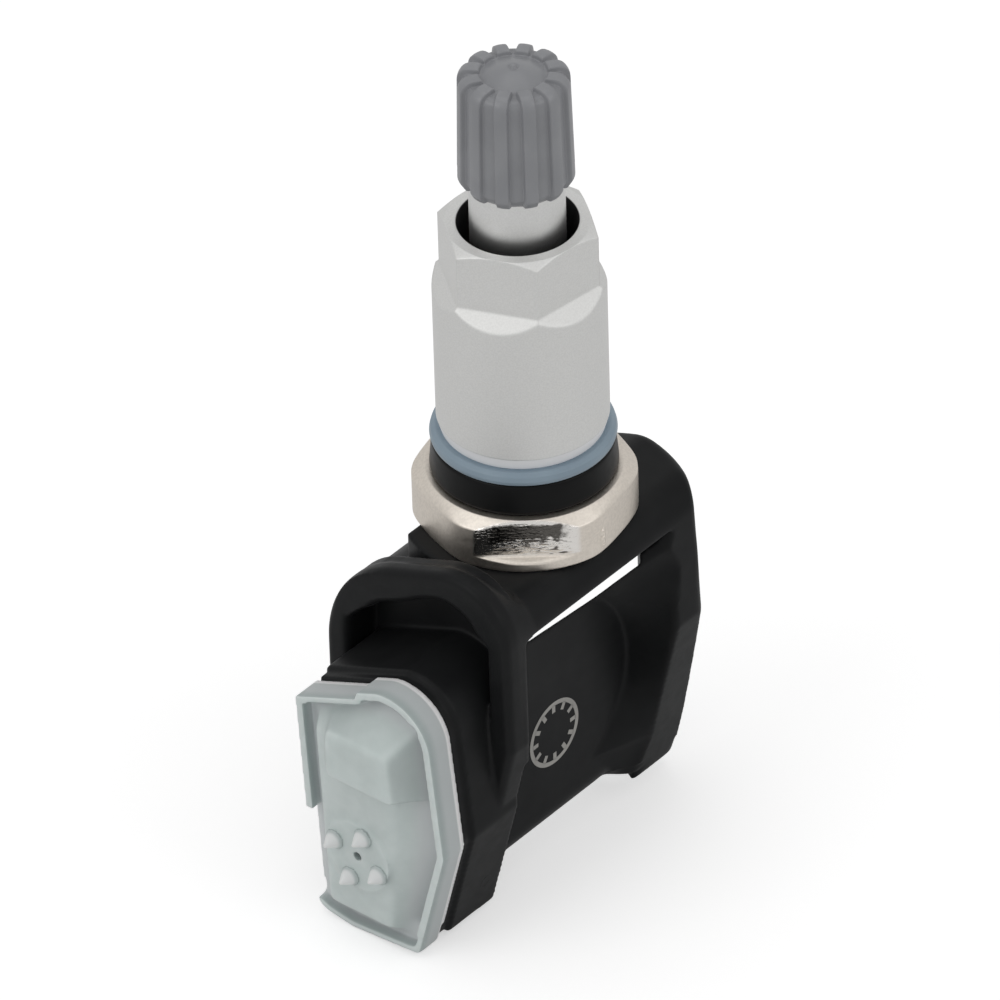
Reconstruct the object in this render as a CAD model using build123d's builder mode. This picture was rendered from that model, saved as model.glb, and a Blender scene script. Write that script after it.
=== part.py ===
"""Tyre pressure sensor with a clamp-in valve, in millimetres.

+Z runs up the valve. The origin lies on the valve's axis, in the plane where the rubber grommet
seals against the inside of the wheel rim. -X is the end with the clear cover, -Y is the open
pocket side.
"""

import math
import os

from build123d import *

os.makedirs("parts", exist_ok=True)

# Heights of the valve's stack, from the sealing plane up
washer_thickness = 1.15
nut_height = 20.45
stem_showing = 4.9
cap_height = 10.0

# Heights of the stack below the sealing plane
grommet_height = 3.05
collar_height = 4.65
bridge_thickness = 3.0
housing_height = 31.9

# Valve stem
stem_diameter = 8.0
stem_thread_diameter = 9.2
stem_thread_reach = 14.4
cap_thread_diameter = 7.7
cap_thread_length = 7.6
core_bore_diameter = 5.3
core_bore_depth = 11.0
air_bore_diameter = 3.0
stem_screw_depth = 7.0
stem_tip_chamfer = 0.4

# Sleeve nut
nut_diameter = 14.5
nut_across_flats = 12.0
nut_hex_height = 5.35
nut_corner_turn = 12.0
nut_mouth_diameter = 10.1
nut_thread_length = 6.6
nut_foot_chamfer_height = 1.2
nut_foot_diameter = 13.8
nut_top_chamfer_diameter = 12.1
nut_foot_relief = 0.85

# Thrust washer and grommet
washer_diameter = 15.7
washer_edge = 0.3
rim_hole_diameter = 11.5
grommet_neck_diameter = 11.3
grommet_neck_height = 1.0
grommet_top_diameter = 15.4
grommet_foot_diameter = 15.9
grommet_edge = 0.35

# Collar under the grommet
collar_diameter = 18.9
collar_across_flats = 16.4
collar_flange_height = 1.2
collar_lip_diameter = 16.7
collar_top_bevel = 0.85

# Valve cap
cap_diameter = 9.9
cap_top_diameter = 9.4
cap_lobes = 12
cap_lobe_radius = 1.35
cap_roof = 1.5
cap_shoulder = 1.2
cap_crown_diameter = 5.6
cap_crown_sink = 0.4
cap_dome_height = 0.75
cap_gate_diameter = 0.6
cap_gate_height = 0.25
cap_gasket_thickness = 1.0

# Valve core
core_clearance = 0.05
core_head_height = 3.6
core_head_sink = 0.5
core_barrel_diameter = 4.2
core_barrel_length = 4.6
core_wall = 0.6
core_bridge_height = 1.0
core_bridge_width = 1.9
core_flange_gap = 0.3
core_pin_diameter = 1.2
core_pin_tip = 0.35
core_pin_collar = 0.5
core_pin_foot_diameter = 2.2
core_pin_foot_height = 0.8
core_seal_diameter = 3.6
core_seal_height = 1.2
core_seal_gap = 0.01
core_spring_wire = 0.3
core_spring_diameter = 2.3
core_spring_turns = 5
barrel_seal_height = 1.3

# Clamp screw under the bridge
screw_diameter = 5.0
screw_head_diameter = 8.0
screw_head_height = 2.5
screw_bore_diameter = 2.0
screw_socket_across = 4.0
screw_socket_depth = 1.4
lock_washer_diameter = 8.6
lock_washer_thickness = 0.8
spot_face_clearance = 0.4

# Running clearances
thread_clearance = 0.05
seat_clearance = 0.1

# Turn of the collar's first flat about the valve, in degrees from +X
flats_turn = 220.6

# Housing across the cover end: reach to the pocket side and to the back at each height
front_reach_knee = 10.0
front_lean = 0.7
front_foot_inset = 4.6
back_reach_knee = 10.05
back_lean = 0.4
back_foot_inset = 3.8
knee_drop = 12.9
ridge_reach = 1.5
back_slope = 21.0
front_shoulder_radius = 2.8
back_shoulder_radius = 6.0
saddle_end = 14.5
end_radius = 14.75
end_lean = 0.55
top_edge_radius = 0.9

# Arched rim at the cover end
rim_rise = 2.8
rim_top_flat = 6.5
rim_width = 3.0
rim_shoulder_radius = 5.3
rim_back_radius = 11.0
rim_lean = 0.3
rim_wall = 2.1
rim_round = 0.7
recess_depth = 3.6
rim_front_flat = 1.1
rim_back_flat = 1.0
recess_corner = 3.2
recess_back_corner = 6.4
recess_below_knee = 1.9

# Seat round the collar, and the far end's foot
seat_diameter = 21.0
seat_back_reach = 5.3
seat_foot_drop = 4.6
end_foot_radius = 13.1

# Sensor box and its clear cover
box_end = 19.0
box_front_gap = 0.6
box_knee_inset = 1.5
box_back_gap = 0.4
box_back_foot_inset = 0.4
box_ridge_reach = 2.0
box_top_drop = 5.7
box_back_drop = 9.6
box_knee_drop = 20.2
box_shoulder_flat = 0.4
box_ridge_radius = 3.0
box_knee_radius = 1.5
box_foot_radius = 0.5
box_back_foot_radius = 1.6
box_belly_reach = 2.0
box_belly_drop = 0.6
box_belly_radius = 4.0
box_back_corner = 0.6
box_neck_length = 1.2
box_neck_inset = 0.35
box_wall = 1.5
board_ledge = 0.8
board_thickness = 1.0
board_depth = 1.4
cavity_floor = 13.0

# Clear cover: heights above the box, and the tub's corners as reach and drop
cover_floor = 0.8
cover_wall = 0.7
cover_wall_height = 2.0
cover_low_wall_height = 0.7
cover_low_height = 3.2
cover_high_height = 4.4
cover_skin = 0.9
cover_step_drop = 15.7
tub_knee_inset = 1.1
tub_ridge_inset = 0.1
tub_back_inset = 1.2
tub_inset = 0.9
tub_low_front = 3.4
tub_low_back = 4.8
tub_low_drop = 10.6
tub_high_front = 3.6
tub_high_back = 2.7
tub_high_drop = 11.0
lip_end_drop = 21.6
lip_top_sink = 0.7
boss_reach = -0.4
boss_drop = 23.6
boss_diameter = 7.0
boss_height = 0.3
port_diameter = 0.8
prong_circle = 5.0
prong_turn = -18.0
prong_diameter = 1.8
prong_tip_diameter = 1.0
prong_height = 1.7

# Board and the parts on it: width along the pocket side, height along Z, thickness
board_clearance = 0.1
chip_side = 5.0
chip_thickness = 1.4
port_seal_diameter = 3.2
coil_width = 7.4
coil_height = 2.6
coil_thickness = 2.0
coil_end = 1.0
coil_flange = 0.2
coil_drop = 14.0
crystal_width = 2.5
crystal_height = 3.2
crystal_thickness = 0.8
crystal_reach = 3.8
crystal_drop = 19.4
small_width = 0.8
small_height = 1.6
small_thickness = 0.7
antenna_width = 6.6
antenna_thickness = 0.4
antenna_height = 1.7
antenna_leg = 0.8
antenna_reach = 1.6
antenna_drop = 10.6

# Pocket on the front, the web behind it and the gap under the bridge
pocket_left = 12.3
pocket_left_overrun = 0.2
pocket_high_right = 5.5
pocket_shoulder_drop = 8.7
pocket_shoulder_right = 2.3
pocket_round_drop = 17.1
pocket_round_right = 6.7
pocket_waist_drop = 25.6
pocket_waist_right = 2.2
pocket_foot_right = 7.0
pocket_overrun = 0.6
pocket_mouth_right = 8.5
pocket_mouth_left = 11.0
pocket_mouth_bow = 0.2
pocket_mouth_shoulder_drop = 0.4
web_sink = 0.4
web_back = 0.3
web_left = 8.6
web_top_drop = 8.1
web_top_slope = 50.5
web_top_tilt = 4.3
web_top_band = 1.2
web_foot_radius = 2.6
web_foot_lift = 1.9
gap_end = 3.3
gap_end_turn = 40.6
leg_right = 11.9
leg_top_drop = 1.0
wing_back = 3.0
wing_inner = 7.4

# Battery in the web
cell_diameter = 12.5
cell_thickness = 2.5
cell_x = -1.6
cell_foot_wall = 2.0
cell_front_wall = 0.5
tab_thickness = 0.2
tab_width = 3.0
cell_edge = 0.4
potting_sink = 0.1

# Levels worked out from the stack
nut_bottom = washer_thickness
nut_top = nut_bottom + nut_height
cap_bottom = nut_top + stem_showing
cap_top = cap_bottom + cap_height
collar_top = -grommet_height
bridge_top = collar_top - collar_height
bridge_under = bridge_top - bridge_thickness
base = bridge_top - housing_height
cap_ceiling = cap_top - cap_crown_sink - cap_roof
stem_top = cap_ceiling - cap_gasket_thickness - seat_clearance
knee = bridge_top - knee_drop


def end_plane(x):
    """A plane across the housing, seen from the cover end: right is the pocket side, up is +Z."""
    return Plane(origin=(x, 0, 0), x_dir=(0, -1, 0), z_dir=(-1, 0, 0))


def front_plane(reach):
    """A plane along the housing, seen from the pocket side: right is +X, up is +Z."""
    return Plane(origin=(0, -reach, 0), x_dir=(1, 0, 0), z_dir=(0, -1, 0))


def save(piece, name):
    """Labels a finished piece and writes its file."""
    piece.part.label = name
    export_step(piece.part, f"parts/{name}.step")
    print(name, round(piece.part.volume, 1))


def ring(inner_radius, outer_radius, low, high):
    """The half section of a plain ring, for a revolve about the valve's axis."""
    with Locations((0, 0)):
        Polygon(
            (inner_radius, low),
            (outer_radius, low),
            (outer_radius, high),
            (inner_radius, high),
            align=None,
        )


# Valve stem: one turned bar, threaded below for the nut and at the tip for the cap
stem_radius = stem_diameter / 2
stem_thread_radius = stem_thread_diameter / 2
cap_thread_radius = cap_thread_diameter / 2
core_bore_radius = core_bore_diameter / 2
air_bore_radius = air_bore_diameter / 2
core_floor = stem_top - core_bore_depth
with BuildPart() as valve_stem:
    with BuildSketch(Plane.XZ):
        with BuildLine():
            Polyline(
                (screw_diameter / 2, bridge_top),
                (stem_thread_radius, bridge_top),
                (stem_thread_radius, stem_thread_reach),
                (stem_radius, stem_thread_reach + stem_thread_radius - stem_radius),
                (stem_radius, stem_top - cap_thread_length - stem_radius + cap_thread_radius),
                (cap_thread_radius, stem_top - cap_thread_length),
                (cap_thread_radius, stem_top - stem_tip_chamfer),
                (cap_thread_radius - stem_tip_chamfer, stem_top),
                (core_bore_radius, stem_top),
                (core_bore_radius, core_floor),
                (air_bore_radius, core_floor - core_bore_radius + air_bore_radius),
                (air_bore_radius, bridge_top + stem_screw_depth),
                (screw_diameter / 2, bridge_top + stem_screw_depth),
                close=True,
            )
        make_face()
    revolve(axis=Axis.Z)
save(valve_stem, "valve_stem")

# Collar: a plated ring on the stem's foot with six flats, one of which stops at a low flange
collar_radius = collar_diameter / 2
with BuildPart() as valve_collar:
    with BuildSketch(Plane.XZ):
        with BuildLine():
            Polyline(
                (stem_thread_radius, bridge_top),
                (collar_radius, bridge_top),
                (collar_radius, collar_top - collar_top_bevel),
                (collar_lip_diameter / 2, collar_top),
                (stem_thread_radius, collar_top),
                close=True,
            )
        make_face()
    revolve(axis=Axis.Z)
    for flat in range(6):
        flat_foot = bridge_top if flat else bridge_top + collar_flange_height
        with BuildSketch(Plane.XZ.rotated((0, 0, flats_turn + 60 * flat))):
            with Locations((collar_across_flats / 2, flat_foot)):
                Rectangle(collar_diameter, collar_height, align=(Align.MIN, Align.MIN))
        extrude(amount=collar_radius, both=True, mode=Mode.SUBTRACT)
save(valve_collar, "valve_collar")

# Grommet: black rubber that seals the rim hole, with a neck that centres in the hole
with BuildPart() as rubber_grommet:
    with BuildSketch(Plane.XZ):
        with BuildLine():
            Polyline(
                (stem_thread_radius, collar_top),
                (grommet_foot_diameter / 2, collar_top),
                (grommet_top_diameter / 2, 0),
                (grommet_neck_diameter / 2, 0),
                (grommet_neck_diameter / 2, grommet_neck_height),
                (stem_thread_radius, grommet_neck_height),
                close=True,
            )
        face = make_face()
        outer = face.vertices().sort_by(Axis.X)[-2:]
        fillet(outer, radius=grommet_edge)
    revolve(axis=Axis.Z)
save(rubber_grommet, "rubber_grommet")

# Thrust washer: the slippery plastic ring that the nut turns on
with BuildPart() as thrust_washer:
    with BuildSketch(Plane.XZ):
        ring(rim_hole_diameter / 2, washer_diameter / 2, 0, washer_thickness)
        fillet(vertices().sort_by(Axis.X)[-2:], radius=washer_edge)
    revolve(axis=Axis.Z)
save(thrust_washer, "thrust_washer")

# Sleeve nut: turned sleeve with a hexagon at the top and a slope under each flat
nut_radius = nut_diameter / 2
nut_thread_radius = stem_thread_radius + thread_clearance
nut_apothem = nut_across_flats / 2
hex_foot = nut_top - nut_hex_height
slope_run = nut_radius
top_chamfer_fall = (nut_radius - nut_top_chamfer_diameter / 2) * math.tan(math.radians(30))
with BuildPart() as sleeve_nut:
    with BuildSketch(Plane.XZ):
        with BuildLine():
            Polyline(
                (rim_hole_diameter / 2, nut_bottom),
                (nut_foot_diameter / 2, nut_bottom),
                (nut_radius, nut_bottom + nut_foot_chamfer_height),
                (nut_radius, nut_top - top_chamfer_fall),
                (nut_top_chamfer_diameter / 2, nut_top),
                (nut_mouth_diameter / 2, nut_top),
                (nut_mouth_diameter / 2, nut_bottom + nut_foot_relief + nut_thread_length),
                (nut_thread_radius, nut_bottom + nut_foot_relief + nut_thread_length),
                (nut_thread_radius, nut_bottom + nut_foot_relief),
                (rim_hole_diameter / 2, nut_bottom + nut_foot_relief),
                close=True,
            )
        make_face()
    revolve(axis=Axis.Z)
    for flat in range(6):
        with BuildSketch(Plane.XZ.rotated((0, 0, flats_turn + nut_corner_turn + 30 + 60 * flat))):
            with BuildLine():
                Polyline(
                    (nut_apothem, nut_top + slope_run),
                    (nut_apothem, hex_foot),
                    (nut_apothem + slope_run, hex_foot - slope_run),
                    (nut_apothem + slope_run, nut_top + slope_run),
                    close=True,
                )
            make_face()
        extrude(amount=nut_radius, both=True, mode=Mode.SUBTRACT)
save(sleeve_nut, "sleeve_nut")

# Valve cap: moulded with rounded lobes, a sunk crown and a low dome with its gate mark
cap_radius = cap_diameter / 2
cap_bore_radius = cap_thread_radius + thread_clearance
lobe_centre = cap_radius - cap_lobe_radius
with BuildPart() as valve_cap:
    with BuildSketch(Plane.XY.offset(cap_bottom)):
        Circle(lobe_centre + cap_lobe_radius / 2)
        with PolarLocations(lobe_centre, cap_lobes):
            Circle(cap_lobe_radius)
    extrude(amount=cap_height)
    with BuildSketch(Plane.XZ) as envelope:
        with BuildLine():
            Polyline(
                (0, cap_bottom),
                (cap_radius, cap_bottom),
                (cap_top_diameter / 2, cap_top),
                (0, cap_top),
                close=True,
            )
        make_face()
        fillet(envelope.vertices().group_by(Axis.Y)[-1].sort_by(Axis.X)[-1], radius=cap_shoulder)
    revolve(axis=Axis.Z, mode=Mode.INTERSECT)
    with BuildSketch(Plane.XY.offset(cap_top)):
        Circle(cap_crown_diameter / 2)
    extrude(amount=-cap_crown_sink, mode=Mode.SUBTRACT)
    dome_foot = cap_top - cap_crown_sink
    dome_half = cap_crown_diameter / 2 - cap_gate_diameter / 2
    with BuildSketch(Plane.XZ):
        with BuildLine():
            Polyline((0, dome_foot + cap_dome_height), (0, dome_foot), (dome_half, dome_foot))
            RadiusArc(
                (dome_half, dome_foot),
                (0, dome_foot + cap_dome_height),
                (dome_half**2 + cap_dome_height**2) / (2 * cap_dome_height),
            )
        make_face()
    revolve(axis=Axis.Z)
    with Locations((0, 0, dome_foot + cap_dome_height - cap_gate_height)):
        Cylinder(
            cap_gate_diameter / 2, 2 * cap_gate_height, align=(Align.CENTER, Align.CENTER, Align.MIN)
        )
    with Locations((0, 0, cap_bottom)):
        Cylinder(
            cap_bore_radius,
            cap_ceiling - cap_bottom,
            align=(Align.CENTER, Align.CENTER, Align.MIN),
            mode=Mode.SUBTRACT,
        )
save(valve_cap, "valve_cap")

# Cap gasket: the rubber disc under the cap's ceiling
with BuildPart() as cap_gasket:
    with BuildSketch(Plane.XY.offset(cap_ceiling)):
        Circle(cap_bore_radius - thread_clearance)
    extrude(amount=-cap_gasket_thickness)
save(cap_gasket, "cap_gasket")

# Housing: one black moulding, with a saddle over the collar, a box, a web and a wing
slope = math.tan(math.radians(back_slope))
front_reach_top = front_reach_knee - front_lean
back_reach_top = back_reach_knee - back_lean
front_reach_foot = front_reach_knee - front_foot_inset
back_reach_foot = back_reach_knee - back_foot_inset
saddle_back_top = bridge_top - slope * (ridge_reach + back_reach_top)
rim_top = bridge_top + rim_rise
rim_front_reach = front_reach_knee - rim_lean
rim_ridge_reach = rim_front_reach - rim_top_flat
rim_back_reach = back_reach_knee
recess_front_reach = front_reach_knee - 2 * rim_round - rim_front_flat
recess_back_reach = back_reach_knee - 2 * rim_round - rim_back_flat
rim_back_top = rim_top - slope * (rim_ridge_reach + rim_back_reach)
recess_top = rim_top - rim_wall
recess_back_top = recess_top - slope * (rim_ridge_reach + recess_back_reach)
recess_foot = knee - recess_below_knee
recess_x = recess_depth - saddle_end
box_top = bridge_top - box_top_drop
box_front_top = recess_front_reach - box_front_gap
box_front_knee = front_reach_knee - box_knee_inset
box_front_foot = front_reach_foot
box_shoulder_radius = box_front_top - box_ridge_reach - box_shoulder_flat
box_back_top = recess_back_reach - box_back_gap
box_back_foot = back_reach_foot - box_back_foot_inset
box_back_level = bridge_top - box_back_drop
box_knee = bridge_top - box_knee_drop
web_face = front_reach_foot - web_sink
pocket_mouth = front_reach_knee + pocket_overrun
pocket_left_reach = front_reach_knee + pocket_left_overrun
web_top = bridge_top - web_top_drop
web_fall = math.tan(math.radians(web_top_slope))
web_tip = web_face + (bridge_under - web_top) / web_fall
web_back_top = web_top - web_fall * (web_face - web_back)
pocket_round_level = bridge_top - pocket_round_drop
cell_radius = cell_diameter / 2
web_foot = base + web_foot_lift
cell_level = web_foot + cell_foot_wall + cell_radius
chamber_radius = cell_radius + 2 * seat_clearance
chamber_floor = web_face - cell_front_wall
cell_back = chamber_floor - tab_thickness - cell_thickness
pocket_shoulder = bridge_top - pocket_shoulder_drop
pocket_mouth_shoulder = bridge_under - pocket_mouth_shoulder_drop
pocket_waist = bridge_top - pocket_waist_drop
bridge_front = front_reach_knee - front_lean * (bridge_under - knee) / knee_drop
beyond = 2 * end_radius
tiny = 0.01


def corner(sketch, reach, level):
    """The vertex of a sketch that lies nearest to a point."""
    return sketch.vertices().sort_by_distance((reach, level))[0]


def saddle_outline(sketch):
    """The saddle's section down to its knees, with rounded shoulders."""
    Polygon(
        (ridge_reach, bridge_top),
        (front_reach_top, bridge_top),
        (front_reach_knee, knee),
        (-back_reach_knee, knee),
        (-back_reach_top, saddle_back_top),
        align=None,
    )
    fillet(corner(sketch, ridge_reach, bridge_top), radius=rim_shoulder_radius)
    fillet(corner(sketch, front_reach_top, bridge_top), radius=front_shoulder_radius)
    fillet(corner(sketch, -back_reach_top, saddle_back_top), radius=back_shoulder_radius)


def rim_outline(sketch):
    """The arched rim's section down to the same knees."""
    Polygon(
        (rim_ridge_reach, rim_top),
        (rim_front_reach, rim_top),
        (front_reach_knee, knee),
        (-back_reach_knee, knee),
        (-rim_back_reach, rim_back_top),
        align=None,
    )
    fillet(corner(sketch, rim_ridge_reach, rim_top), radius=rim_shoulder_radius)
    fillet(corner(sketch, rim_front_reach, rim_top), radius=rim_shoulder_radius)
    fillet(corner(sketch, -rim_back_reach, rim_back_top), radius=rim_back_radius)


def box_outline(sketch):
    """The outline that the sensor box shares with its cover."""
    Polygon(
        (-box_back_top, box_back_level),
        (box_ridge_reach, box_top),
        (box_front_top, box_top),
        (box_front_knee, box_knee),
        (box_front_foot, base),
        (-box_belly_reach, base - box_belly_drop),
        (-box_back_foot, base),
        align=None,
    )
    fillet(corner(sketch, box_ridge_reach, box_top), radius=box_ridge_radius)
    fillet(corner(sketch, -box_belly_reach, base - box_belly_drop), radius=box_belly_radius)
    fillet(corner(sketch, box_front_top, box_top), radius=box_shoulder_radius)
    fillet(corner(sketch, box_front_knee, box_knee), radius=box_knee_radius)
    fillet(corner(sketch, box_front_foot, base), radius=box_foot_radius)
    fillet(corner(sketch, -box_back_foot, base), radius=box_back_foot_radius)
    fillet(corner(sketch, -box_back_top, box_back_level), radius=box_back_corner)


# Wedge of the gap under the bridge, which ends in a slanting wall over the wing
with BuildPart() as gap:
    with BuildSketch(end_plane(-web_left).rotated((0, web_top_tilt, 0))):
        with BuildLine():
            Polyline(
                (web_back, web_back_top),
                (web_tip - web_top_band / web_fall, bridge_under - web_top_band),
                (web_tip - web_top_band / web_fall, bridge_under),
                (web_back, bridge_under),
                close=True,
            )
        make_face()
    extrude(amount=-web_left - beyond)
    with BuildSketch(Plane.XY.offset(bridge_under)):
        with Locations(Location((gap_end, -bridge_front), gap_end_turn)):
            Rectangle(2 * beyond, beyond, align=(Align.CENTER, Align.MAX))
    extrude(amount=beyond, both=True, mode=Mode.SUBTRACT)

with BuildPart() as sensor_housing:
    # Saddle and legs, drawn on the cover end and run to the far end
    with BuildSketch(end_plane(-saddle_end)) as section:
        saddle_outline(section)
        with BuildLine():
            Polyline(
                (front_reach_knee, knee),
                (front_reach_foot, base),
                (-back_reach_foot, base),
                (-back_reach_knee, knee),
                close=True,
            )
        make_face()
    extrude(amount=-saddle_end - end_radius)
    # Arched rim, falling back to the saddle
    with BuildSketch(end_plane(-saddle_end)) as section:
        rim_outline(section)
    with BuildSketch(end_plane(-saddle_end + rim_width / 2)) as section:
        rim_outline(section)
    with BuildSketch(end_plane(-saddle_end + rim_width + rim_rise / 2)) as section:
        saddle_outline(section)
    loft(ruled=True)
    # Round far end, about the valve, with draft above and below the knee
    with BuildSketch(Plane.XZ.rotated((0, 0, -90))):
        Polygon(
            (end_foot_radius, base),
            (beyond, base),
            (beyond, bridge_top),
            (end_radius - end_lean, bridge_top),
            (end_radius, knee),
            align=None,
        )
    revolve(axis=Axis.Z, revolution_arc=180, mode=Mode.SUBTRACT)
    far = edges().filter_by_position(Axis.X, end_radius / 4, beyond)
    fillet(far.filter_by_position(Axis.Z, knee + seat_foot_drop, bridge_top), radius=top_edge_radius)
    bead = edges().filter_by_position(Axis.X, -saddle_end - tiny, -saddle_end + tiny)
    fillet(bead.filter_by_position(Axis.Z, base + tiny, rim_top), radius=rim_round)
    # Recess inside the arched rim
    with BuildSketch(end_plane(-saddle_end)) as section:
        with BuildLine():
            Polyline(
                (rim_ridge_reach, recess_top),
                (recess_front_reach, recess_top),
                (recess_front_reach, recess_foot),
                (-recess_back_reach, recess_foot),
                (-recess_back_reach, recess_back_top),
                close=True,
            )
        make_face()
        fillet(corner(section, recess_front_reach, recess_top), radius=recess_corner)
        fillet(corner(section, -recess_back_reach, recess_back_top), radius=recess_back_corner)
        fillet(corner(section, rim_ridge_reach, recess_top), radius=recess_corner)
    extrude(amount=-recess_depth, mode=Mode.SUBTRACT)
    bead = edges(Select.LAST).filter_by_position(Axis.X, -saddle_end - tiny, -saddle_end + tiny)
    fillet(bead.filter_by_position(Axis.Z, recess_foot + tiny, rim_top), radius=rim_round)
    # Seat under the collar, level where the saddle falls away behind
    with BuildSketch(Plane.XY.offset(bridge_top)):
        Circle(seat_diameter / 2)
        with Locations((0, (seat_back_reach - ridge_reach) / 2)):
            Rectangle(seat_diameter, seat_back_reach + ridge_reach, mode=Mode.INTERSECT)
    extrude(amount=-seat_foot_drop)
    # Gap under the bridge, open through to the back, over the web's slanted top
    with BuildSketch(end_plane(-web_left)):
        with BuildLine():
            Polyline(
                (web_tip, bridge_under),
                (ridge_reach, bridge_under),
                (-beyond, bridge_under - slope * (ridge_reach + beyond)),
                (-beyond, base),
                (web_back, base),
                (web_back, web_back_top),
                close=True,
            )
        make_face()
    extrude(amount=-web_left - wing_inner, mode=Mode.SUBTRACT)
    # The slanted top falls a little along its length
    add(gap.part, mode=Mode.SUBTRACT)
    # Open space behind the wing
    with BuildSketch(end_plane(wing_inner)):
        with BuildLine():
            Polyline(
                (wing_back, bridge_under),
                (ridge_reach, bridge_under),
                (-beyond, bridge_under - slope * (ridge_reach + beyond)),
                (-beyond, base),
                (wing_back, base),
                close=True,
            )
        make_face()
    extrude(amount=-beyond, mode=Mode.SUBTRACT)
    # Pocket, round on the right at the web and straight where it opens
    with BuildSketch(front_plane(web_face)):
        with BuildLine():
            ThreePointArc(
                (pocket_shoulder_right, pocket_shoulder),
                (pocket_round_right, pocket_round_level),
                (pocket_waist_right, pocket_waist),
            )
            Polyline(
                (pocket_waist_right, pocket_waist),
                (pocket_foot_right, base),
                (-web_left, base),
                (-web_left, bridge_under),
                (pocket_high_right, bridge_under),
                (pocket_shoulder_right, pocket_shoulder),
            )
        make_face()
    with BuildSketch(front_plane(pocket_mouth)):
        with BuildLine():
            ThreePointArc(
                (pocket_mouth_right, pocket_mouth_shoulder),
                (pocket_mouth_right + pocket_mouth_bow, pocket_round_level),
                (pocket_mouth_right, pocket_waist),
            )
            Polyline(
                (pocket_mouth_right, pocket_waist),
                (pocket_mouth_right, base),
                (-pocket_mouth_left, base),
                (-pocket_mouth_left, bridge_under),
                (pocket_mouth_right, bridge_under),
                (pocket_mouth_right, pocket_mouth_shoulder),
            )
        make_face()
    loft(ruled=True, mode=Mode.SUBTRACT)
    with BuildSketch(Plane.XY.offset(base)):
        Polygon(
            (-pocket_left, -pocket_left_reach),
            (-web_left, -pocket_left_reach - web_left + pocket_left),
            (-web_left, -pocket_left_reach),
            align=None,
        )
    extrude(amount=bridge_under - base, mode=Mode.SUBTRACT)
    # Sensor box, stepped in where the cover meets it
    with BuildSketch(end_plane(box_neck_length - box_end)) as section:
        box_outline(section)
    extrude(amount=box_neck_length - box_end - recess_x)
    with BuildSketch(end_plane(-box_end)) as section:
        box_outline(section)
        offset(amount=-box_neck_inset, mode=Mode.REPLACE)
    extrude(amount=-box_neck_length)
    # The pocket's left side runs on straight below the knee
    with BuildSketch(Plane.XY.offset(recess_foot - leg_top_drop)):
        Polygon(
            (-leg_right, -web_face),
            (-web_left, -web_face),
            (-web_left, -pocket_mouth),
            (-leg_right, -pocket_mouth),
            align=None,
        )
    extrude(amount=-beyond, mode=Mode.SUBTRACT)
    # The web stops short of the base, and its lower edge is round
    with BuildSketch(Plane.XY.offset(web_foot)):
        Polygon(
            (-leg_right, -pocket_mouth),
            (pocket_foot_right, -pocket_mouth),
            (pocket_foot_right, beyond),
            (-leg_right, beyond),
            align=None,
        )
    extrude(amount=-web_foot_lift - box_belly_drop, mode=Mode.SUBTRACT)
    foot = edges().filter_by_position(Axis.Y, -web_face - tiny, -web_face + tiny)
    fillet(foot.filter_by_position(Axis.Z, web_foot - tiny, web_foot + tiny), radius=web_foot_radius)
    # Room for the board and, past its ledge, for the parts behind it
    with BuildSketch(end_plane(-box_end)) as section:
        box_outline(section)
        offset(amount=-box_wall, mode=Mode.REPLACE)
    extrude(amount=-board_depth - board_thickness, mode=Mode.SUBTRACT)
    with BuildSketch(end_plane(-box_end)) as section:
        box_outline(section)
        offset(amount=-box_wall - board_ledge, mode=Mode.REPLACE)
    extrude(amount=cavity_floor - box_end, mode=Mode.SUBTRACT)
    # Round room for the battery, open at the back
    with BuildSketch(front_plane(chamber_floor)):
        with Locations((cell_x, cell_level)):
            Circle(chamber_radius)
    extrude(amount=web_back - chamber_floor, mode=Mode.SUBTRACT)
    # Slots that lead the battery's tabs through to the board
    with BuildSketch(end_plane(-cavity_floor)):
        with Locations((chamber_floor - tab_thickness / 2, cell_level)):
            Rectangle(tab_thickness + 2 * seat_clearance, tab_width + 2 * seat_clearance)
        with Locations((cell_back - tab_thickness / 2, cell_level)):
            Rectangle(tab_thickness + 2 * seat_clearance, tab_width + 2 * seat_clearance)
    extrude(amount=-cavity_floor - cell_x, mode=Mode.SUBTRACT)
    # Hole and flat face for the clamp screw
    with BuildSketch(Plane.XY.offset(bridge_under)):
        Circle((lock_washer_diameter + spot_face_clearance) / 2)
    extrude(amount=-seat_foot_drop, mode=Mode.SUBTRACT)
    with BuildSketch(Plane.XY.offset(bridge_under)):
        Circle(screw_diameter / 2 + seat_clearance)
    extrude(amount=bridge_thickness, mode=Mode.SUBTRACT)
save(sensor_housing, "sensor_housing")

# Clear cover: a tray with a low wall, a tub in two heights and a boss with four prongs
cover_floor_x = -box_end - cover_floor
tub_low_x = -box_end - cover_low_height
tub_foot_front = box_front_top - tub_inset
tub_foot_knee = box_front_knee - tub_knee_inset
tub_foot_ridge = box_ridge_reach - tub_ridge_inset
tub_foot_back = box_back_top - tub_back_inset
tub_high_x = -box_end - cover_high_height
tub_foot_top = box_top - tub_inset
lip_slope = (box_top - box_back_level) / (box_ridge_reach + box_back_top)
tub_foot_base = base + tub_inset
step_level = bridge_top - cover_step_drop
tub_low_top = bridge_top - tub_low_drop
tub_high_top = bridge_top - tub_high_drop
lip_end = bridge_top - lip_end_drop
boss_level = bridge_top - boss_drop
ceiling_x = tub_low_x + cover_skin
prong_taper = math.degrees(math.atan2(prong_diameter - prong_tip_diameter, 2 * prong_height))


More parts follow.
